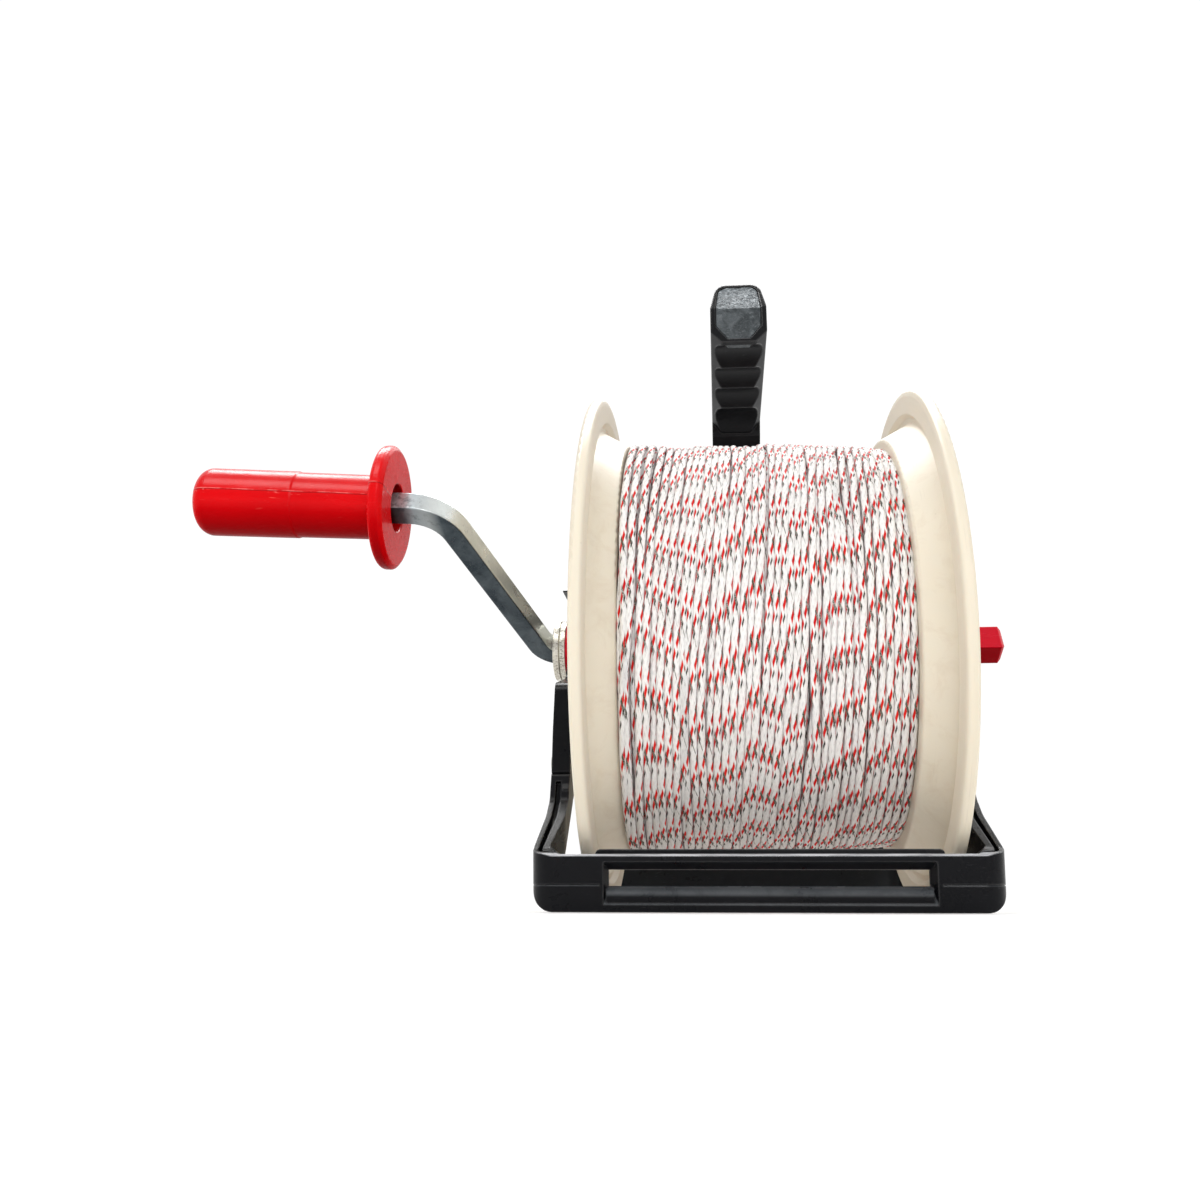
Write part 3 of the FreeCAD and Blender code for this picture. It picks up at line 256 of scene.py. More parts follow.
def cream_plastic(name, base=(0.748, 0.684, 0.556)):
    m = Mat(name)
    v = m.coords()
    big = m.noise(v, 11, 3, 0.5)
    cloud = m.noise(v, 34, 5, 0.6, 0.3)
    fine = m.noise(v, 1100, 2, 0.5)
    col = m.mix(m.remap(big, 0.35, 0.70, 0.0, 1.0), base, (base[0] * 0.985, base[1] * 0.972, base[2] * 0.950))
    col = m.mix(m.remap(cloud, 0.52, 0.78, 0.0, 0.45), col, (base[0] * 1.03, base[1] * 1.02, base[2] * 1.01))
    # distance from the axle: rubbed brownish where the wire runs, thin turned scuffs further out
    sep = m.n("ShaderNodeSeparateXYZ")
    tc = m.n("ShaderNodeTexCoord")
    m.link(tc.outputs["Object"], sep.inputs[0])
    dy = m.math("SUBTRACT", sep.outputs["Y"], AXLE.y)
    dz = m.math("SUBTRACT", sep.outputs["Z"], AXLE.z)
    rad = m.math("SQRT", m.math("ADD", m.math("MULTIPLY", dy, dy), m.math("MULTIPLY", dz, dz)))
    near = m.math("MULTIPLY", m.remap(rad, 0.0775, 0.0825, 0.0, 1.0), m.remap(rad, 0.0835, 0.0905, 1.0, 0.0), clamp=True)
    blot = m.noise(v, 120, 5, 0.7, 0.6)
    rub = m.math("MULTIPLY", near, m.remap(blot, 0.48, 0.72, 0.0, 0.24), clamp=True)
    col = m.mix(rub, col, (0.50, 0.36, 0.22))
    cmb = m.n("ShaderNodeCombineXYZ")
    m.link(m.math("MULTIPLY", rad, 900.0), cmb.inputs["X"])
    m.link(m.math("MULTIPLY", sep.outputs["X"], 900.0), cmb.inputs["Y"])
    lines = m.noise(cmb.outputs[0], 1.0, 2, 0.6)
    scuff = m.math("MULTIPLY", m.remap(lines, 0.62, 0.74, 0.0, 1.0), m.remap(m.noise(v, 42, 4, 0.6, 0.8), 0.52, 0.66, 0.0, 0.34), clamp=True)
    col = m.mix(scuff, col, (0.52, 0.46, 0.37))
    # faint dirt specks
    dots = m.voronoi(v, 210)
    speck = m.math("MULTIPLY", m.remap(dots, 0.05, 0.11, 1.0, 0.0), m.remap(cloud, 0.60, 0.70, 0.0, 0.30), clamp=True)
    col = m.mix(speck, col, (0.42, 0.34, 0.25))
    m.color(col)
    m.rough(m.math("ADD", m.remap(cloud, 0.3, 0.75, 0.30, 0.44), m.math("MULTIPLY", scuff, 0.3)))
    n1 = m.bump(fine, 0.10, 0.00010, m.edge(0.6 * MM))
    m.normal(m.bump(big, 0.07, 0.0014, m.bump(lines, 0.05, 0.00008, n1)))
    m.set(sss=0.15, sss_scale=0.004, spec=0.30, ior=1.49)
    m.p.inputs["Subsurface Radius"].default_value = (1.0, 0.72, 0.45)
    return m.m


def red_plastic(name, base=(0.680, 0.0010, 0.0032), dark=(0.52, 0.0006, 0.0022), seam=False):
    m = Mat(name)
    v = m.coords()
    big = m.noise(v, 26, 3, 0.5)
    fine = m.noise(v, 800, 3, 0.55)
    flow = m.noise(m.coords(scale=(0.5, 3, 3)), 120, 4, 0.6, 0.6)
    col = m.mix(m.remap(big, 0.35, 0.7, 0.0, 0.6), base, dark)
    col = m.mix(m.remap(flow, 0.62, 0.82, 0.0, 0.22), col, (0.80, 0.016, 0.014))
    # fine pale scratches along the grip
    st = m.noise(m.coords(scale=(0.25, 2.2, 2.2)), 420, 2, 0.5)
    scr = m.math("MULTIPLY", m.remap(st, 0.68, 0.76, 0.0, 0.55), m.remap(big, 0.50, 0.62, 0.0, 1.0), clamp=True)
    col = m.mix(scr, col, (0.84, 0.09, 0.07))
    n1 = m.bump(fine, 0.08, 0.00010, m.edge(0.4 * MM))
    # the underside is painted a deeper red as painted shade, and it is duller
    side = m.n("ShaderNodeSeparateXYZ")
    m.link(m.n("ShaderNodeTexCoord").outputs["Normal"], side.inputs[0])
    col = m.mix(m.remap(side.outputs["Z"], -1.0, -0.26, 1.0, 0.0), col, (0.185, 0.0, 0.0008))
    gloss = m.math("MULTIPLY", m.remap(side.outputs["Z"], -0.55, 0.15, 0.015, 0.19), m.remap(side.outputs["X"], 0.80, 0.95, 1.0, 0.35))
    m.link(gloss, m.p.inputs["Specular IOR Level"])
    if seam:
        # parting line of the mould along both sides, with a little flash beside it
        axis = GRIP_DIR.normalized()
        front = (Vector((0, -1, 0)) - axis * axis.dot(Vector((0, -1, 0)))).normalized()
        up = front.cross(axis)
        up = up if up.z > 0 else -up
        sn = up * math.cos(SEAM_AT) - front * math.sin(SEAM_AT)
        tc = m.n("ShaderNodeTexCoord")
        off = m.n("ShaderNodeVectorMath", operation="SUBTRACT")
        m.link(tc.outputs["Object"], off.inputs[0])
        off.inputs[1].default_value = GRIP_AT
        dot = m.n("ShaderNodeVectorMath", operation="DOT_PRODUCT")
        m.link(off.outputs[0], dot.inputs[0])
        dot.inputs[1].default_value = sn
        wander = m.math("MULTIPLY", m.math("SUBTRACT", m.noise(v, 60, 2, 0.5), 0.5), 0.0005)
        d = m.math("ADD", dot.outputs["Value"], wander)
        line = m.remap(m.math("ABSOLUTE", d), 0.00008, 0.00024, 1.0, 0.0)
        above = m.remap(m.math("ABSOLUTE", m.math("SUBTRACT", d, 0.00030)), 0.00006, 0.00022, 1.0, 0.0)
        part = m.remap(m.noise(v, 140, 3, 0.6), 0.46, 0.58, 0.0, 1.0)
        flash = m.math("MULTIPLY", m.remap(m.math("ABSOLUTE", d), 0.0004, 0.0016, 1.0, 0.0), m.remap(m.noise(m.coords(scale=(0.5, 1.6, 1.6)), 700, 3, 0.6), 0.60, 0.66, 0.0, 1.0), clamp=True)
        flash = m.math("MULTIPLY", flash, m.remap(m.noise(v, 70, 2, 0.5), 0.50, 0.60, 0.0, 0.8))
        col = m.mix(m.math("MULTIPLY", line, 0.75), col, (0.24, 0.0005, 0.0015))
        col = m.mix(m.math("MULTIPLY", above, m.math("MULTIPLY", part, 0.65)), col, (0.86, 0.22, 0.20))
        col = m.mix(flash, col, (0.85, 0.16, 0.14))
        n1 = m.bump(m.math("ADD", above, flash), 0.5, 0.00012, n1)
    m.color(col)
    m.rough(m.math("ADD", m.remap(flow, 0.3, 0.75, 0.20, 0.32), m.math("MULTIPLY", scr, 0.2)))
    m.normal(m.bump(flow, 0.12, 0.0006, n1))
    m.set(sss=0.04, sss_scale=0.002, ior=1.50)
    m.p.inputs["Subsurface Radius"].default_value = (1.0, 0.15, 0.1)
    return m.m


def zinc_bar(name, base=(0.74, 0.77, 0.75)):
    """Drawn square bar, zinc plated: fine lines, cloudy passivation; one face painted darker and bluish as painted
    shade.
    """
    m = Mat(name)
    rot = (CRANK_UP, 0.0, 0.0)
    v = m.coords()
    along = m.noise(m.coords(scale=(0.06, 1.0, 1.0), rot=rot), 1500, 3, 0.6)
    cloud = m.noise(v, 75, 6, 0.65, 0.5)
    spots = m.noise(v, 300, 4, 0.7)
    tc = m.n("ShaderNodeTexCoord")
    dot = m.n("ShaderNodeVectorMath", operation="DOT_PRODUCT")
    m.link(tc.outputs["Normal"], dot.inputs[0])
    dot.inputs[1].default_value = (0.0, -math.sin(CRANK_UP), -math.cos(CRANK_UP))
    painted_shade_face = m.remap(dot.outputs["Value"], 0.45, 0.85, 0.0, 1.0)
    sx = m.n("ShaderNodeSeparateXYZ")
    m.link(tc.outputs["Object"], sx.inputs[0])
    # round the upper bend the painted shade on the darker face is weaker
    painted_shade_face = m.math("MULTIPLY", painted_shade_face, m.math("ADD", m.remap(sx.outputs["X"], -0.0655, -0.0610, 0.66, 1.0), m.remap(sx.outputs["X"], -0.0740, -0.0700, 0.34, 0.0)), clamp=True)
    col = m.mix(m.remap(cloud, 0.38, 0.74, 0.0, 1.0), base, (0.55, 0.585, 0.56))
    col = m.mix(m.remap(spots, 0.60, 0.78, 0.0, 0.7), col, (0.32, 0.35, 0.36))
    col = m.mix(m.remap(along, 0.56, 0.80, 0.0, 0.35), col, (0.94, 0.95, 0.95))
    # beyond the bend the bar is duller and bluish, with dark specks
    end = m.remap(sx.outputs["X"], -0.0700, -0.0640, 1.0, 0.0)
    col = m.mix(end, col, m.mix(m.remap(spots, 0.50, 0.66, 0.0, 1.0), (0.54, 0.60, 0.61), (0.22, 0.25, 0.26)))
    # colour of the darker bluish face: painted shade
    shade = m.mix(m.remap(cloud, 0.36, 0.66, 0.0, 1.0), (0.026, 0.034, 0.040), (0.075, 0.089, 0.097))
    shade = m.mix(m.remap(spots, 0.56, 0.74, 0.0, 0.65), shade, (0.012, 0.017, 0.021))
    col = m.mix(painted_shade_face, col, shade)
    m.color(col)
    m.rough(m.math("ADD", m.remap(cloud, 0.3, 0.75, 0.22, 0.42), m.remap(spots, 0.55, 0.8, 0.0, 0.14)))
    n1 = m.bump(along, 0.18, 0.00012, m.edge(0.55 * MM))
    m.normal(m.bump(cloud, 0.26, 0.0006, n1))
    m.link(m.remap(painted_shade_face, 0.0, 1.0, 0.82, 1.0), m.p.inputs["Metallic"])
    return m.m


def zinc_small(name, base=(0.46, 0.47, 0.46), warm=(0.54, 0.50, 0.42), ticks=0.0):
    m = Mat(name)
    v = m.coords()
    cloud = m.noise(v, 190, 5, 0.6, 0.3)
    fine = m.noise(v, 1500, 3, 0.6)
    col = m.mix(m.remap(cloud, 0.38, 0.68, 0.0, 1.0), base, warm)
    col = m.mix(m.remap(fine, 0.60, 0.78, 0.0, 0.5), col, (0.24, 0.24, 0.23))
    if ticks:
        # the rim is rough from the punch, with short dark ticks
        face = m.n("ShaderNodeSeparateXYZ")
        m.link(m.n("ShaderNodeTexCoord").outputs["Normal"], face.inputs[0])
        rim = m.remap(m.math("ABSOLUTE", face.outputs["X"]), 0.35, 0.60, 1.0, 0.0)
        tick = m.noise(m.coords(scale=(0.55, 1.3, 1.3)), 1700, 2, 0.6)
        tick = m.math("MULTIPLY", m.remap(tick, 0.50, 0.62, 0.0, ticks), rim)
        col = m.mix(tick, col, (0.20, 0.175, 0.135))
    m.color(col)
    m.rough(m.remap(cloud, 0.3, 0.75, 0.28, 0.46))
    m.normal(m.bump(fine, 0.30, 0.00015))
    m.set(metal=1.0)
    return m.m


def polywire(name):
    """Braided wire, eight strands each way: two red ones, beside each a white one with a dark thread, steel crossing them."""
    m = Mat(name)
    uv = m.n("ShaderNodeUVMap")
    uv.uv_map = "wire"
    sep = m.n("ShaderNodeSeparateXYZ")
    m.link(uv.outputs[0], sep.inputs[0])
    s, around = sep.outputs["X"], sep.outputs["Y"]
    n = 8.0
    a = m.math("MULTIPLY", m.math("ADD", around, s), n)
    b = m.math("MULTIPLY", m.math("SUBTRACT", around, s), n)
    ia, ib = m.math("FLOOR", a), m.math("FLOOR", b)
    fa, fb = m.math("FRACT", a), m.math("FRACT", b)
    ma = m.math("FLOORED_MODULO", ia, 4.0)
    mb = m.math("FLOORED_MODULO", ib, 4.0)

    def crown(f):
        q = m.math("SUBTRACT", m.math("MULTIPLY", f, 2.0), 1.0)
        return m.math("SUBTRACT", 1.0, m.math("MULTIPLY", q, q))

    def wave(along, strand, sign):
        q = m.math("MULTIPLY", m.math("SUBTRACT", m.math("SUBTRACT", along, 0.5), strand), math.pi)
        return m.math("MULTIPLY", m.math("COSINE", q), sign * 0.50)

    def band(f, half, soft=0.05):
        """1 within half of the middle of a strand."""
        q = m.math("ABSOLUTE", m.math("SUBTRACT", f, 0.5))
        return m.remap(q, half - soft, half + soft, 1.0, 0.0)

    def reach(along, strand, shift, half, soft=0.07):
        """1 along the part of a strand that lies on top, shift 0 or 1 for the two directions."""
        q = m.math("SUBTRACT", m.math("FLOORED_MODULO", m.math("ADD", m.math("SUBTRACT", along, strand), 0.5 + shift), 2.0), 1.0)
        return m.remap(m.math("ABSOLUTE", q), half - soft, half + soft, 1.0, 0.0)

    ca, cb = crown(fa), crown(fb)
    ha, hb = m.math("ADD", ca, wave(b, ia, 1.0)), m.math("ADD", cb, wave(a, ib, -1.0))
    h = m.math("MAXIMUM", ha, hb)
    v = m.coords()
    patch = m.noise(v, 60, 3, 0.6)
    zone = m.noise(v, 95, 2, 0.5)
    thread = m.noise(v, 2400, 2, 0.7)
    fibre = m.noise(v, 900, 3, 0.6)
    red = m.math("MULTIPLY", m.math("COMPARE", ma, 0.0, 0.1), m.math("MULTIPLY", band(fa, 0.42, 0.06), reach(b, ia, 0.0, 0.66)))
    steel = m.math("MULTIPLY", m.math("COMPARE", mb, 1.0, 0.1), reach(a, ib, 1.0, 0.72))
    # broad where it crosses the red strand, a thin line elsewhere
    at_red = m.math("MAXIMUM", m.math("COMPARE", ma, 0.0, 0.1), m.math("MAXIMUM", m.math("MULTIPLY", m.math("COMPARE", ma, 1.0, 0.1), m.math("LESS_THAN", fa, 0.5)),
                    m.math("MULTIPLY", m.math("COMPARE", ma, 3.0, 0.1), m.math("GREATER_THAN", fa, 0.5))))
    steel = m.math("MULTIPLY", steel, m.math("MAXIMUM", m.math("MULTIPLY", at_red, band(fb, 0.36, 0.06)), m.math("MULTIPLY", band(fb, 0.13), m.remap(zone, 0.42, 0.56, 0.1, 0.9))))
    dark_a = m.math("MULTIPLY", m.math("COMPARE", ma, THREAD_SIDE, 0.1), m.math("MULTIPLY", band(fa, 0.25), reach(b, ia, 0.0, 0.50, 0.10)))
    dark_a = m.math("MULTIPLY", dark_a, m.remap(zone, 0.30, 0.46, 0.45, 1.0))
    white = m.mix(m.remap(patch, 0.35, 0.7, 0.0, 1.0), (0.890, 0.870, 0.838), (0.830, 0.806, 0.774))
    white = m.mix(m.remap(fibre, 0.50, 0.72, 0.0, 0.14), white, (0.62, 0.59, 0.60))
    # darker where the braid sinks between the strands: painted shade in the creases
    white = m.mix(m.remap(h, 0.20, 0.90, 0.36, 0.0), white, (0.52, 0.46, 0.485))
    steel_col = m.mix(m.remap(thread, 0.40, 0.60, 0.0, 1.0), (0.034, 0.030, 0.021), (0.165, 0.150, 0.105))
    # pale patches on the steel strand, more of them higher on the drum: painted reflection of the light from above
    painted_glint_col = m.mix(m.remap(thread, 0.44, 0.58, 0.0, 1.0), (0.120, 0.110, 0.085), (0.62, 0.60, 0.56))
    hi = m.n("ShaderNodeSeparateXYZ")
    m.link(m.n("ShaderNodeTexCoord").outputs["Object"], hi.inputs[0])
    painted_glint = m.math("MULTIPLY", m.remap(m.noise(v, 30, 2, 0.5), 0.44, 0.54, 0.0, 0.9), m.remap(hi.outputs["Z"], 0.060, 0.115, 0.1, 1.0))
    steel_col = m.mix(painted_glint, steel_col, painted_glint_col)
    # the white is darker and warmer towards the bottom of the drum: painted shade
    white = m.mix(m.remap(hi.outputs["Z"], 0.078, 0.030, 0.0, 0.55), white, (0.72, 0.68, 0.635))
    fine_col = m.mix(m.remap(thread, 0.45, 0.62, 0.0, 1.0), (0.030, 0.028, 0.022), (0.125, 0.118, 0.100))
    col = m.mix(steel, white, steel_col)
    col = m.mix(dark_a, col, fine_col)
    red_col = m.mix(m.remap(patch, 0.35, 0.70, 0.0, 1.0), (0.700, 0.020, 0.012), (0.520, 0.008, 0.014))
    col = m.mix(red, col, red_col)
    # painted shade: deeper in the groove beside the next wrap it is darker
    eu = m.n("ShaderNodeUVMap")
    eu.uv_map = "groove"
    es = m.n("ShaderNodeSeparateXYZ")
    m.link(eu.outputs[0], es.inputs[0])
    col = m.mix(m.remap(es.outputs["X"], 0.74, 0.95, 0.0, 0.42), col, (0.330, 0.235, 0.255))
    m.color(col)
    m.rough(m.remap(thread, 0.3, 0.7, 0.42, 0.58))
    m.normal(m.bump(h, 0.70, 0.00024, m.bump(thread, 0.12, 0.00006)))
    m.set(spec=0.05, sss=0.22, sss_scale=0.0011)
    m.p.inputs["Subsurface Radius"].default_value = (1.0, 0.86, 0.84)
    return m.m


def wire_heart(name):
    """What shows between the wraps: older wraps, coloured grey as painted shade."""
    m = Mat(name)
    v = m.coords()
    band = m.noise(m.coords(scale=(1.0, 0.12, 0.12)), 900, 3, 0.6)
    m.color(m.mix(m.remap(band, 0.35, 0.7, 0.0, 1.0), (0.42, 0.39, 0.40), (0.70, 0.68, 0.67)))
    m.rough(m.remap(m.noise(v, 400), 0.3, 0.7, 0.5, 0.7))
    m.normal(m.bump(band, 0.5, 0.0006))
    return m.m


M_BLACK = black_plastic("black_frame_plastic")
M_GUIDE = black_plastic("black_guide_plastic", base=(0.0033, 0.0035, 0.0046), painted_lip_light=True)
# the foot gets a lighter copy of the black plastic: painted light, for its face seen through the window of the front
# guide
M_FOOT_PAINTED_LIGHT = black_plastic("black_foot_plastic", base=(0.0100, 0.0115, 0.0132))
M_HANDLE = black_plastic("black_handle_plastic", base=(0.0046, 0.0047, 0.0054), rough=(0.30, 0.42), spec=0.10, edge=1.2, up_gloss=0.0, painted_top_light=(0.0085, 0.0085, 0.0088))
M_PLUG = plug_plastic("plug_rough_plastic")
M_LEVER = black_plastic("black_lever_plastic", base=(0.0044, 0.0047, 0.0056), rough=(0.28, 0.42), edge=0.5)
M_CREAM = cream_plastic("cream_drum_plastic")
M_RED = red_plastic("red_grip_plastic", seam=True)
M_RED2 = red_plastic("red_bush_plastic", base=(0.66, 0.004, 0.020), dark=(0.50, 0.002, 0.016))
M_BAR = zinc_bar("zinc_square_bar")
M_WASHER = zinc_small("zinc_washer", base=(0.56, 0.54, 0.48), warm=(0.70, 0.66, 0.56), ticks=0.8)
M_SCREW = zinc_small("zinc_screw")
M_WIRE = polywire("braided_polywire")
M_HEART = wire_heart("polywire_inside")

finish_of = {
    "left_side_frame": M_BLACK, "right_side_frame": M_BLACK, "front_guide": M_GUIDE, "rear_foot": M_FOOT_PAINTED_LIGHT,
    "handle_yoke": M_HANDLE, "handle_end_plug": M_PLUG, "drum_lock_lever": M_LEVER,
    "yoke_screws": M_SCREW, "guide_screws": M_SCREW, "foot_screws": M_SCREW, "lock_pawl": M_LEVER, "lock_pawl_screw": M_SCREW,
    "crank_bar": M_BAR, "axle_retaining_pin": M_SCREW, "hub_washer_inner": M_WASHER, "hub_washer_outer": M_WASHER,
    "thrust_washer": M_WASHER, "left_bush": M_RED2, "right_bush": M_RED2, "axle_end_cap": M_RED2, "crank_grip": M_RED,
    "grip_retaining_ring": M_SCREW, "drum_flange_left": M_CREAM, "drum_flange_right": M_CREAM, "drum_core": M_CREAM,
    "left_flange_screws": M_SCREW, "right_flange_screws": M_SCREW, "polywire_winding": M_WIRE,
}
for name, obj in nodes.items():
    obj.data.materials.clear()
    obj.data.materials.append(finish_of[name])

# a small radius on the sharp edges of the moulded parts, so that they catch the light
for name, width in (("front_guide", 0.45), ("rear_foot", 0.45), ("left_side_frame", 0.35), ("right_side_frame", 0.35), ("handle_yoke", 0.5),
                    ("handle_end_plug", 0.35), ("drum_lock_lever", 0.3), ("drum_flange_left", 0.3), ("drum_flange_right", 0.3)):
    bv = nodes[name].modifiers.new("edge", "BEVEL")
    bv.width = width * MM
    bv.segments = 2
    bv.limit_method = "ANGLE"
    bv.angle_limit = math.radians(40)
    bv.harden_normals = False
    bv.use_clamp_overlap = True

# ------------------------------------------------------------------ the wound wire
rng = np.random.default_rng(7)
WIRE_R = 1.23            # mm
NTH = 300                # steps in a turn
NSIDE = 12
OVAL = 0.055             # how far the wire is from round
STEP_TURNS = 14          # turns of a strand in one wrap round the drum
LAYERS, PER = 3, 39.0
OUTLINE_X = (-50, -48, -40, -30, -20, -10, 0, 8, 20, 30, 40, 46, 50)
OUTLINE_R = (83.6, 83.5, 82.8, 81.3, 80.6, 80.3, 80.6, 80.8, 79.9, 79.2, 78.6, 77.6, 77.2)


def smooth_noise(count, length, seed):
    """Smooth random line: value at every step, period of about `length` steps."""
    r = np.random.default_rng(seed)
    k = int(count / length) + 4
    pts = r.uniform(-1, 1, k)
    t = np.arange(count) / length
    i = t.astype(int)
    f = t - i
    f = f * f * (3 - 2 * f)
    return pts[i] * (1 - f) + pts[i + 1] * f


def drum_wobble():
    """Sideways drift of every wrap round the drum, in mm: it leans one way in front and back again behind."""
    deg = np.arange(NTH) * 360.0 / NTH            # measured from +Y towards +Z
    slope = np.full(NTH, 0.0)
    slope[(deg >= 128) & (deg < 188)] = -0.070
    slope[(deg >= 188) & (deg < 212)] = -0.038
    slope[(deg >= 212) & (deg < 252)] = -0.030
    rest = (slope == 0)
    slope[rest] = -slope.sum() / rest.sum()
    k = np.exp(-0.5 * (np.arange(-16, 17) / 7.0) ** 2)
    k /= k.sum()
    slope = np.convolve(np.concatenate([slope[-16:], slope, slope[:16]]), k, "valid")
    step = 2 * math.pi * 81.0 / NTH
    w = np.cumsum(slope) * step
    return w - w.mean()


def surface(x):
    """Outer radius of the finished winding along the drum, fuller on the left."""
    return np.interp(x, OUTLINE_X, OUTLINE_R)


def gauss(v, sigma, reach):
    k = np.exp(-0.5 * (np.arange(-reach, reach + 1) / sigma) ** 2)
    return np.convolve(v, k / k.sum(), "valid")


def field(x, deg, seed, lx, lt, n=26):
    """Smooth random field over the drum, periodic round it, about -1..1."""
    r = np.random.default_rng(seed)
    out = 0.0
    for _ in range(n):
        kx = r.normal(0, 1.0 / lx)
        kt = int(np.clip(round(r.normal(0, 360.0 / lt / 2)), -12, 12))
        out = out + np.cos(kx * x + kt * np.radians(deg) + r.uniform(0, 2 * math.pi))
    return out * 1.3 / math.sqrt(n)


def wind():
    turns = int(LAYERS * PER)
    total = turns * NTH
    t = np.arange(total) / NTH
    deg = (np.arange(total) % NTH) * 360.0 / NTH
    ph = (t / PER) % 2.0
    sweep = (np.where(ph < 1, ph, 2 - ph) * 2 - 1)
    if LAYERS % 2 == 0:
        sweep = -sweep
    half = np.where(t > (LAYERS - 1) * PER, 47.75, 47.1)
    wob = np.tile(drum_wobble(), turns)
    edge = 1 - np.clip(np.abs(sweep), 0, 1) ** 6
    x0 = sweep * half
    layer = (t // PER)
    x = x0 + wob * edge * np.interp(x0, (-48, 0, 26, 48), (1.0, 1.0, 0.35, 0.1))
    for L in range(LAYERS):
        q = layer == L
        x[q] += 0.95 * field(x0[q], deg[q], 40 + L, 13.0, 95.0) * edge[q]
        x[q] += 0.24 * field(x0[q], deg[q], 50 + L, 3.6, 50.0) * edge[q]
    x += (0.34 * smooth_noise(total, NTH * 0.36, 4) + 0.22 * smooth_noise(total, NTH * 0.10, 5)) * edge
    # a few wraps stray across their neighbours
    r = np.random.default_rng(21)
    for _ in range(46):
        c, w_, a = r.integers(2 * NTH, total - 2 * NTH), r.uniform(12, 38), r.choice([-1, 1]) * r.uniform(1.1, 2.5)
        x += a * np.exp(-0.5 * ((np.arange(total) - c) / w_) ** 2) * edge
    lim = half
    x = np.clip(x, -lim, lim)
    d = 2 * WIRE_R * 0.955
    X = np.zeros((NTH, turns))
    R = np.zeros((NTH, turns))
    base = lambda q: surface(q) - WIRE_R - (LAYERS - 1) * 2.12 - 1.30
    off = np.linspace(-1.3, 1.3, 11)

    def rest_on(q, k):
        h = base(q)
        if k:
            a = max(0, k - int(2.2 * PER))
            dx = np.abs(q[..., None] - (X[:, None, a:k] if q.ndim == 2 else X[:, a:k]))
            up = np.where(dx < d, (R[:, None, a:k] if q.ndim == 2 else R[:, a:k]) + np.sqrt(np.maximum(d * d - dx * dx, 0)), 0)
            h = np.maximum(h, up.max(-1))
        return h

    for k in range(turns):
        xt = x[k * NTH:(k + 1) * NTH]
        lm = lim[k * NTH]
        cand = np.clip(xt[:, None] + off[None, :], -lm, lm)
        L = k // PER
        want = base(cand) + 2.12 * L
        cost = np.maximum(rest_on(cand, k) - want - 0.15, 0) * 1.6 + 0.05 * np.abs(off)[None, :] + 0.22 * off[None, :] ** 2
        w = np.exp(-cost * 7.0)
        nx = (cand * w).sum(1) / w.sum(1)
        pad = np.concatenate([nx[:1].repeat(18) if k == 0 else X[-18:, k - 1], nx, nx[-1:].repeat(18)])
        nx = np.clip(gauss(pad, 5.5, 18), -lm, lm)
        rr = rest_on(nx, k)
        rr = np.minimum(rr, base(nx) + 2.12 * L + 1.5)
        pad = np.concatenate([rr[:1].repeat(11) if k == 0 else R[-11:, k - 1], rr, rr[-1:].repeat(11)])
        wide = np.stack([pad[i:i + NTH + 16] for i in range(7)]).max(0)
        rr = np.maximum(rr - 0.10, gauss(wide, 3.2, 8))
        X[:, k], R[:, k] = nx, rr
    return X.T.ravel(), R.T.ravel(), turns


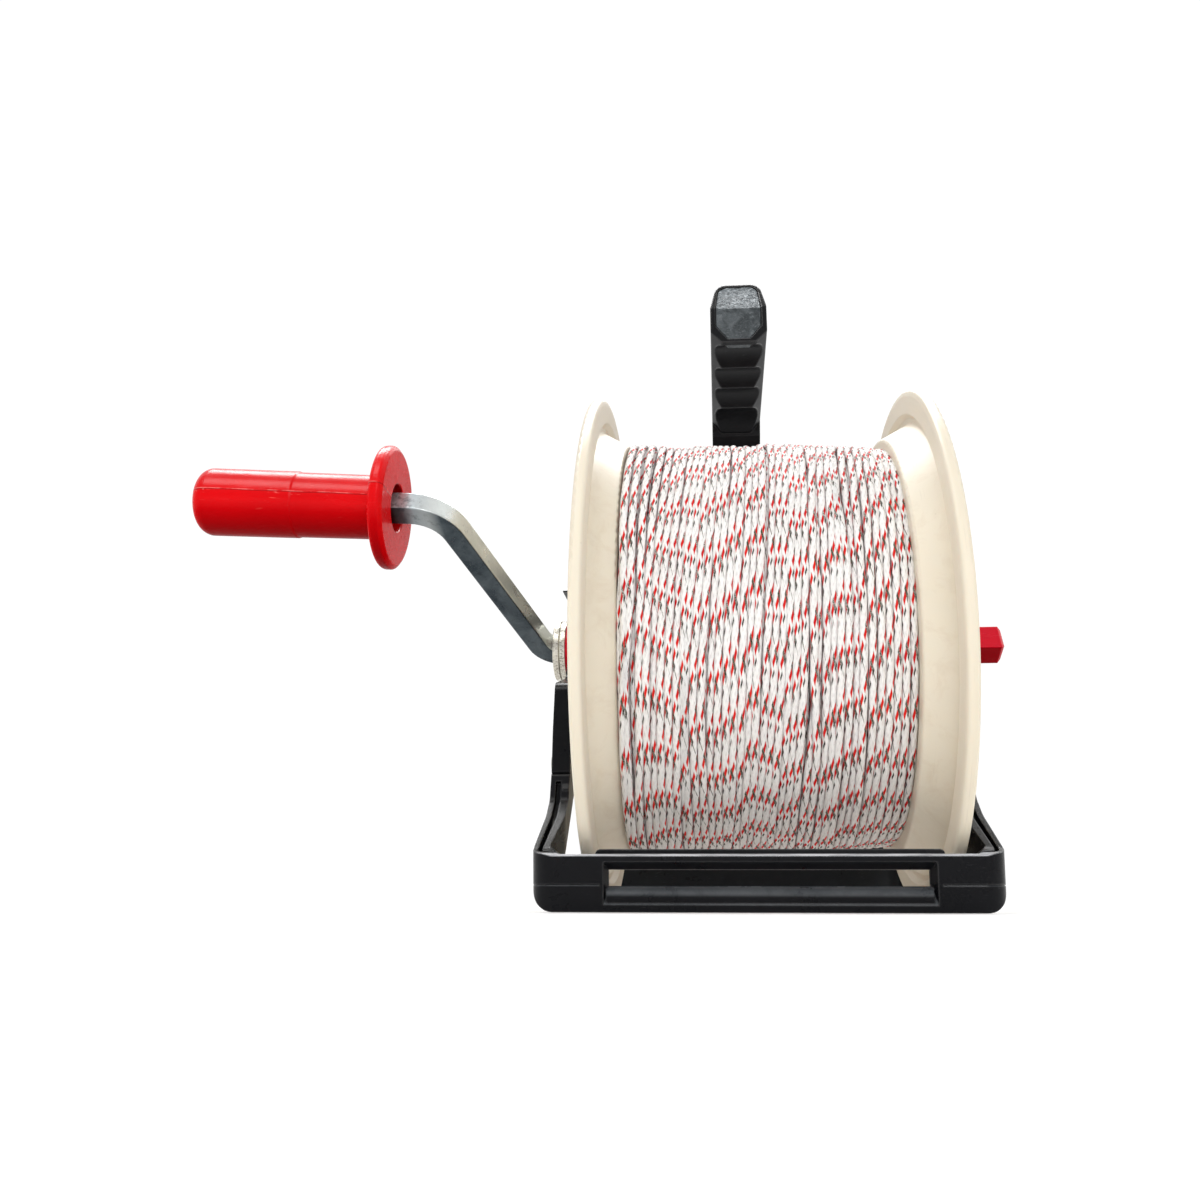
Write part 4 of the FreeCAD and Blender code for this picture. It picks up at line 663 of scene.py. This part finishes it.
def tube_mesh(name, xs, rs, start, stop, nside=NSIDE, step=1):
    """A tube along part of the wound line, with the braid's coordinates and a flat map of its own."""
    i = np.arange(start, stop + 1, step)
    n_side = nside
    th = i * 2 * math.pi / NTH
    cx, cr = xs[i], rs[i]
    c = np.stack([cx, cr * np.cos(th), cr * np.sin(th)], 1)
    tan = np.gradient(c, axis=0)
    ln = np.linalg.norm(tan, axis=1)
    tan /= ln[:, None]
    rad = np.stack([np.zeros_like(th), np.cos(th), np.sin(th)], 1)
    rad -= tan * (rad * tan).sum(1)[:, None]
    rad /= np.linalg.norm(rad, axis=1)[:, None]
    side = np.cross(tan, rad)
    u = i / NTH * STEP_TURNS
    x_at, deg_at = cx, (i % NTH) * 360.0 / NTH
    u = u + 0.105 * field(x_at, deg_at, 77, 9.0, 100.0) + DRIFT[i] + 0.145 * np.cos(2 * math.pi * (x_at - 1.0) / 52.0)
    twist = 0.06 * field(x_at, deg_at, 78, 6.0, 150.0) + 0.5 * DRIFT[i]
    a = np.arange(n_side) * 2 * math.pi / n_side
    # the strands make the wire a slowly turning oval, full where it is all white
    lobes = 1.0 - OVAL * np.cos(4 * math.pi * (a[None, :] / (2 * math.pi) + (twist + u)[:, None] - 1.0 / 16))
    w, hgt = WIRE_R * 1.14, WIRE_R * 0.98
    p = c[:, None, :] + side[:, None, :] * (w * np.cos(a)[None, :] * lobes)[..., None] + rad[:, None, :] * (hgt * np.sin(a)[None, :] * lobes)[..., None]
    v = p.reshape(-1, 3) * MM + np.array(AXLE)
    rows = len(i)
    r0 = np.arange(rows - 1)[:, None] * n_side
    j = np.arange(n_side)[None, :]
    j2 = (j + 1) % n_side
    f = np.stack([r0 + j, r0 + j2, r0 + n_side + j2, r0 + n_side + j], 2).reshape(-1, 4)
    caps = [list(range(n_side))[::-1], list(range((rows - 1) * n_side, rows * n_side))]
    me = bpy.data.meshes.new(name)
    me.from_pydata(v.tolist(), [], f.tolist() + caps)
    me.update()
    # braid coordinates: turns of a strand along the wire, turns round it
    uu = np.stack([u[:-1], u[:-1], u[1:], u[1:]], 1)[:, None, :].repeat(n_side, 1)
    vv = np.broadcast_to(np.stack([np.arange(n_side), np.arange(1, n_side + 1), np.arange(1, n_side + 1), np.arange(n_side)], 1)[None] / n_side, (rows - 1, n_side, 4))
    tw = np.stack([twist[:-1], twist[:-1], twist[1:], twist[1:]], 1)[:, None, :].repeat(n_side, 1)
    uvw = np.stack([uu, vv + tw], -1).reshape(-1, 2)
    uvw = np.concatenate([uvw, np.tile([[0.5, 0.02]], (2 * n_side, 1))])
    lay = me.uv_layers.new(name="wire")
    lay.data.foreach_set("uv", uvw.astype(np.float32).ravel())
    gr = np.abs(np.cos(np.stack([np.arange(n_side), np.arange(1, n_side + 1), np.arange(1, n_side + 1), np.arange(n_side)], 1) * 2 * math.pi / n_side))
    gr = np.broadcast_to(gr[None], (rows - 1, n_side, 4))
    gv = np.stack([gr, gr * 0 + 0.5], -1).reshape(-1, 2)
    gv = np.concatenate([gv, np.tile([[0.5, 0.5]], (2 * n_side, 1))])
    lay3 = me.uv_layers.new(name="groove")
    lay3.data.foreach_set("uv", gv.astype(np.float32).ravel())
    # a flat map: one strip for each turn
    k = i[:-1] - start
    tn, ft = k // NTH, (k % NTH) / NTH
    n_t = (stop - start - 1) // NTH + 1
    u0, u1 = 0.003 + 0.994 * ft, 0.003 + 0.994 * (ft + step / NTH)
    bu = np.stack([u0, u0, u1, u1], 1)[:, None, :].repeat(n_side, 1)
    bv = (tn[:, None, None] + 0.04 + 0.92 * np.stack([np.arange(n_side), np.arange(1, n_side + 1), np.arange(1, n_side + 1), np.arange(n_side)], 1)[None] / n_side) / n_t
    bake = np.stack([bu, np.broadcast_to(bv, bu.shape)], -1).reshape(-1, 2)
    bake = np.concatenate([bake, np.tile([[0.001, 0.001]], (2 * n_side, 1))])
    lay2 = me.uv_layers.new(name="OFBake")
    lay2.data.foreach_set("uv", bake.astype(np.float32).ravel())
    me.polygons.foreach_set("use_smooth", np.ones(len(me.polygons), bool))
    me.materials.append(M_WIRE)
    o = bpy.data.objects.new(name, me)
    bpy.context.scene.collection.objects.link(o)
    return o


def lathe(name, prof, mat, seg=180, phase=0.0):
    """Surface of revolution about the axle; prof is closed, (x, r) in mm."""
    n = len(prof)
    vs, fs = [], []
    for k in range(seg):
        a = phase + 2 * math.pi * k / seg
        for x, r in prof:
            vs.append((AXLE.x + x * MM, AXLE.y + r * MM * math.cos(a), AXLE.z + r * MM * math.sin(a)))
    for k in range(seg):
        k2 = (k + 1) % seg
        for i in range(n):
            i2 = (i + 1) % n
            fs.append((k * n + i, k2 * n + i, k2 * n + i2, k * n + i2))
    me = bpy.data.meshes.new(name)
    me.from_pydata(vs, [], fs)
    me.update()
    me.polygons.foreach_set("use_smooth", np.ones(len(me.polygons), bool))
    me.materials.append(mat)
    o = bpy.data.objects.new(name, me)
    bpy.context.scene.collection.objects.link(o)
    bm = bmesh.new()
    bm.from_mesh(me)
    bmesh.ops.recalc_face_normals(bm, faces=bm.faces)
    bm.to_mesh(me)
    bm.free()
    return o


xs, rs, turns = wind()
DRIFT = np.cumsum(0.00022 * smooth_noise(len(xs), NTH * 1.7, 91)) + 0.050 * smooth_noise(len(xs), NTH * 0.9, 92)
last = rs[-int(PER * NTH):]
print("winding: turns", turns, "centre radius of the last layer", last.min().round(2), last.max().round(2), np.percentile(last, [5, 50, 95]).round(2))
third = int(PER) // 3
pieces = []
for q in range(3):
    a = int((LAYERS - 1) * PER) + q * third
    b = turns if q == 2 else a + third
    pieces.append(tube_mesh("polywire_outer_wraps_%d" % (q + 1), xs, rs, a * NTH, min(b * NTH, turns * NTH - 1)))
pieces.append(tube_mesh("polywire_under_wraps", xs, rs, int((LAYERS - 2) * PER) * NTH, int((LAYERS - 1) * PER) * NTH, 8, 2))
prof = [(-48.1, 34.4), (-48.1, 74.5)]
for i in range(84):
    q = -47.0 + 94.0 * i / 83
    prof.append((q, surface(q) - 6.0 + 0.5 * (i % 2)))
prof += [(48.1, 71.0), (48.1, 34.4)]
pieces.append(lathe("polywire_inner_mass", prof, M_HEART, 144))
for o in pieces:
    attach(o, "rotor")
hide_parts("polywire_winding")

# ------------------------------------------------------------------ floor, light, camera
bpy.ops.mesh.primitive_plane_add(size=14.0, location=(0, 0, -0.0002))
floor = bpy.context.object
floor.name = "floor"
fm = Mat("pale_floor")
fm.color(fm.mix(fm.remap(fm.noise(fm.coords(), 3.0), 0.3, 0.7, 0.0, 1.0), (0.86, 0.86, 0.86), (0.84, 0.84, 0.84)))
fm.set(rough=0.75, spec=0.1)
fm.p.inputs["Emission Color"].default_value = (1, 1, 1, 1)
fm.p.inputs["Emission Strength"].default_value = 0.30
floor.data.materials.append(fm.m)

world = bpy.data.worlds.new("studio")
bpy.context.scene.world = world
world.use_nodes = True
wt = world.node_tree
bg = wt.nodes["Background"]
wc = wt.nodes.new("ShaderNodeTexCoord")
ws = wt.nodes.new("ShaderNodeSeparateXYZ")
wt.links.new(wc.outputs["Generated"], ws.inputs[0])
wr = wt.nodes.new("ShaderNodeValToRGB")
wm = wt.nodes.new("ShaderNodeMapRange")
wt.links.new(ws.outputs["Y"], wm.inputs["Value"])
wm.inputs["From Min"].default_value, wm.inputs["From Max"].default_value = -1.0, 1.0
wt.links.new(wm.outputs["Result"], wr.inputs["Fac"])
els = wr.color_ramp.elements
els[0].position, els[0].color = 0.18, (0.46, 0.465, 0.48, 1)
els[1].position, els[1].color = 0.62, (1.04, 1.04, 1.04, 1)
wt.links.new(wr.outputs["Color"], bg.inputs[0])
bg.inputs[1].default_value = 1.0


def area(name, loc, target, size, power, color=(1, 1, 1), size_y=None):
    l = bpy.data.lights.new(name, "AREA")
    l.energy = power
    l.color = color
    l.size = size
    if size_y:
        l.shape = "RECTANGLE"
        l.size_y = size_y
    o = bpy.data.objects.new(name, l)
    bpy.context.scene.collection.objects.link(o)
    o.location = loc
    d = Vector(target) - Vector(loc)
    o.rotation_euler = d.to_track_quat("-Z", "Y").to_euler()
    return o


area("key_top", (-0.45, -0.95, 1.15), (0.0, -0.05, 0.12), 0.6, 6.5, size_y=0.45)
area("fill_front", (0.45, -1.7, 0.60), (0.0, 0.0, 0.12), 0.8, 7.0)
area("back_top", (0.3, 0.9, 1.3), (0.0, 0.0, 0.15), 0.8, 4.0)
strip = area("strip_top", (-0.12, 0.26, 1.18), (-0.05, -0.06, 0.05), 1.1, 18.0, size_y=0.42)
strip.visible_diffuse = False

cam = bpy.data.cameras.new("camera")
camo = bpy.data.objects.new("camera", cam)
bpy.context.scene.collection.objects.link(camo)
YAW, PITCH, ROLL, TILT = (math.radians(v) for v in (3.771, 3.484, -0.832, -14.25))
cam.sensor_width = 36.0
cam.lens = 979.72 / 1200 * 36.0
cam.shift_x = (600 - 651.30) / 1200
cam.shift_y = (590.21 - 600) / 1200
cam.clip_start, cam.clip_end = 0.01, 60


def tilt(v):
    return Vector((v[0], v[1] * math.cos(TILT) + v[2] * math.sin(TILT), -v[1] * math.sin(TILT) + v[2] * math.cos(TILT)))


r0 = Vector((math.cos(YAW), math.sin(YAW), 0))
f0 = Vector((-math.sin(YAW), math.cos(YAW), 0))
z0 = Vector((0, 0, 1))
fwd = f0 * math.cos(PITCH) + z0 * math.sin(PITCH)
upv = -f0 * math.sin(PITCH) + z0 * math.cos(PITCH)
rt = tilt(r0 * math.cos(ROLL) + upv * math.sin(ROLL))
up = tilt(-r0 * math.sin(ROLL) + upv * math.cos(ROLL))
fwd = tilt(fwd)
rot = Matrix((rt, up, -fwd)).transposed()
camo.matrix_world = Matrix.Translation(Vector((AXLE.x - 0.01618, AXLE.y - 0.38217, 0.00284))) @ rot.to_4x4()
bpy.context.scene.camera = camo
bpy.context.scene.view_settings.view_transform = "Standard"
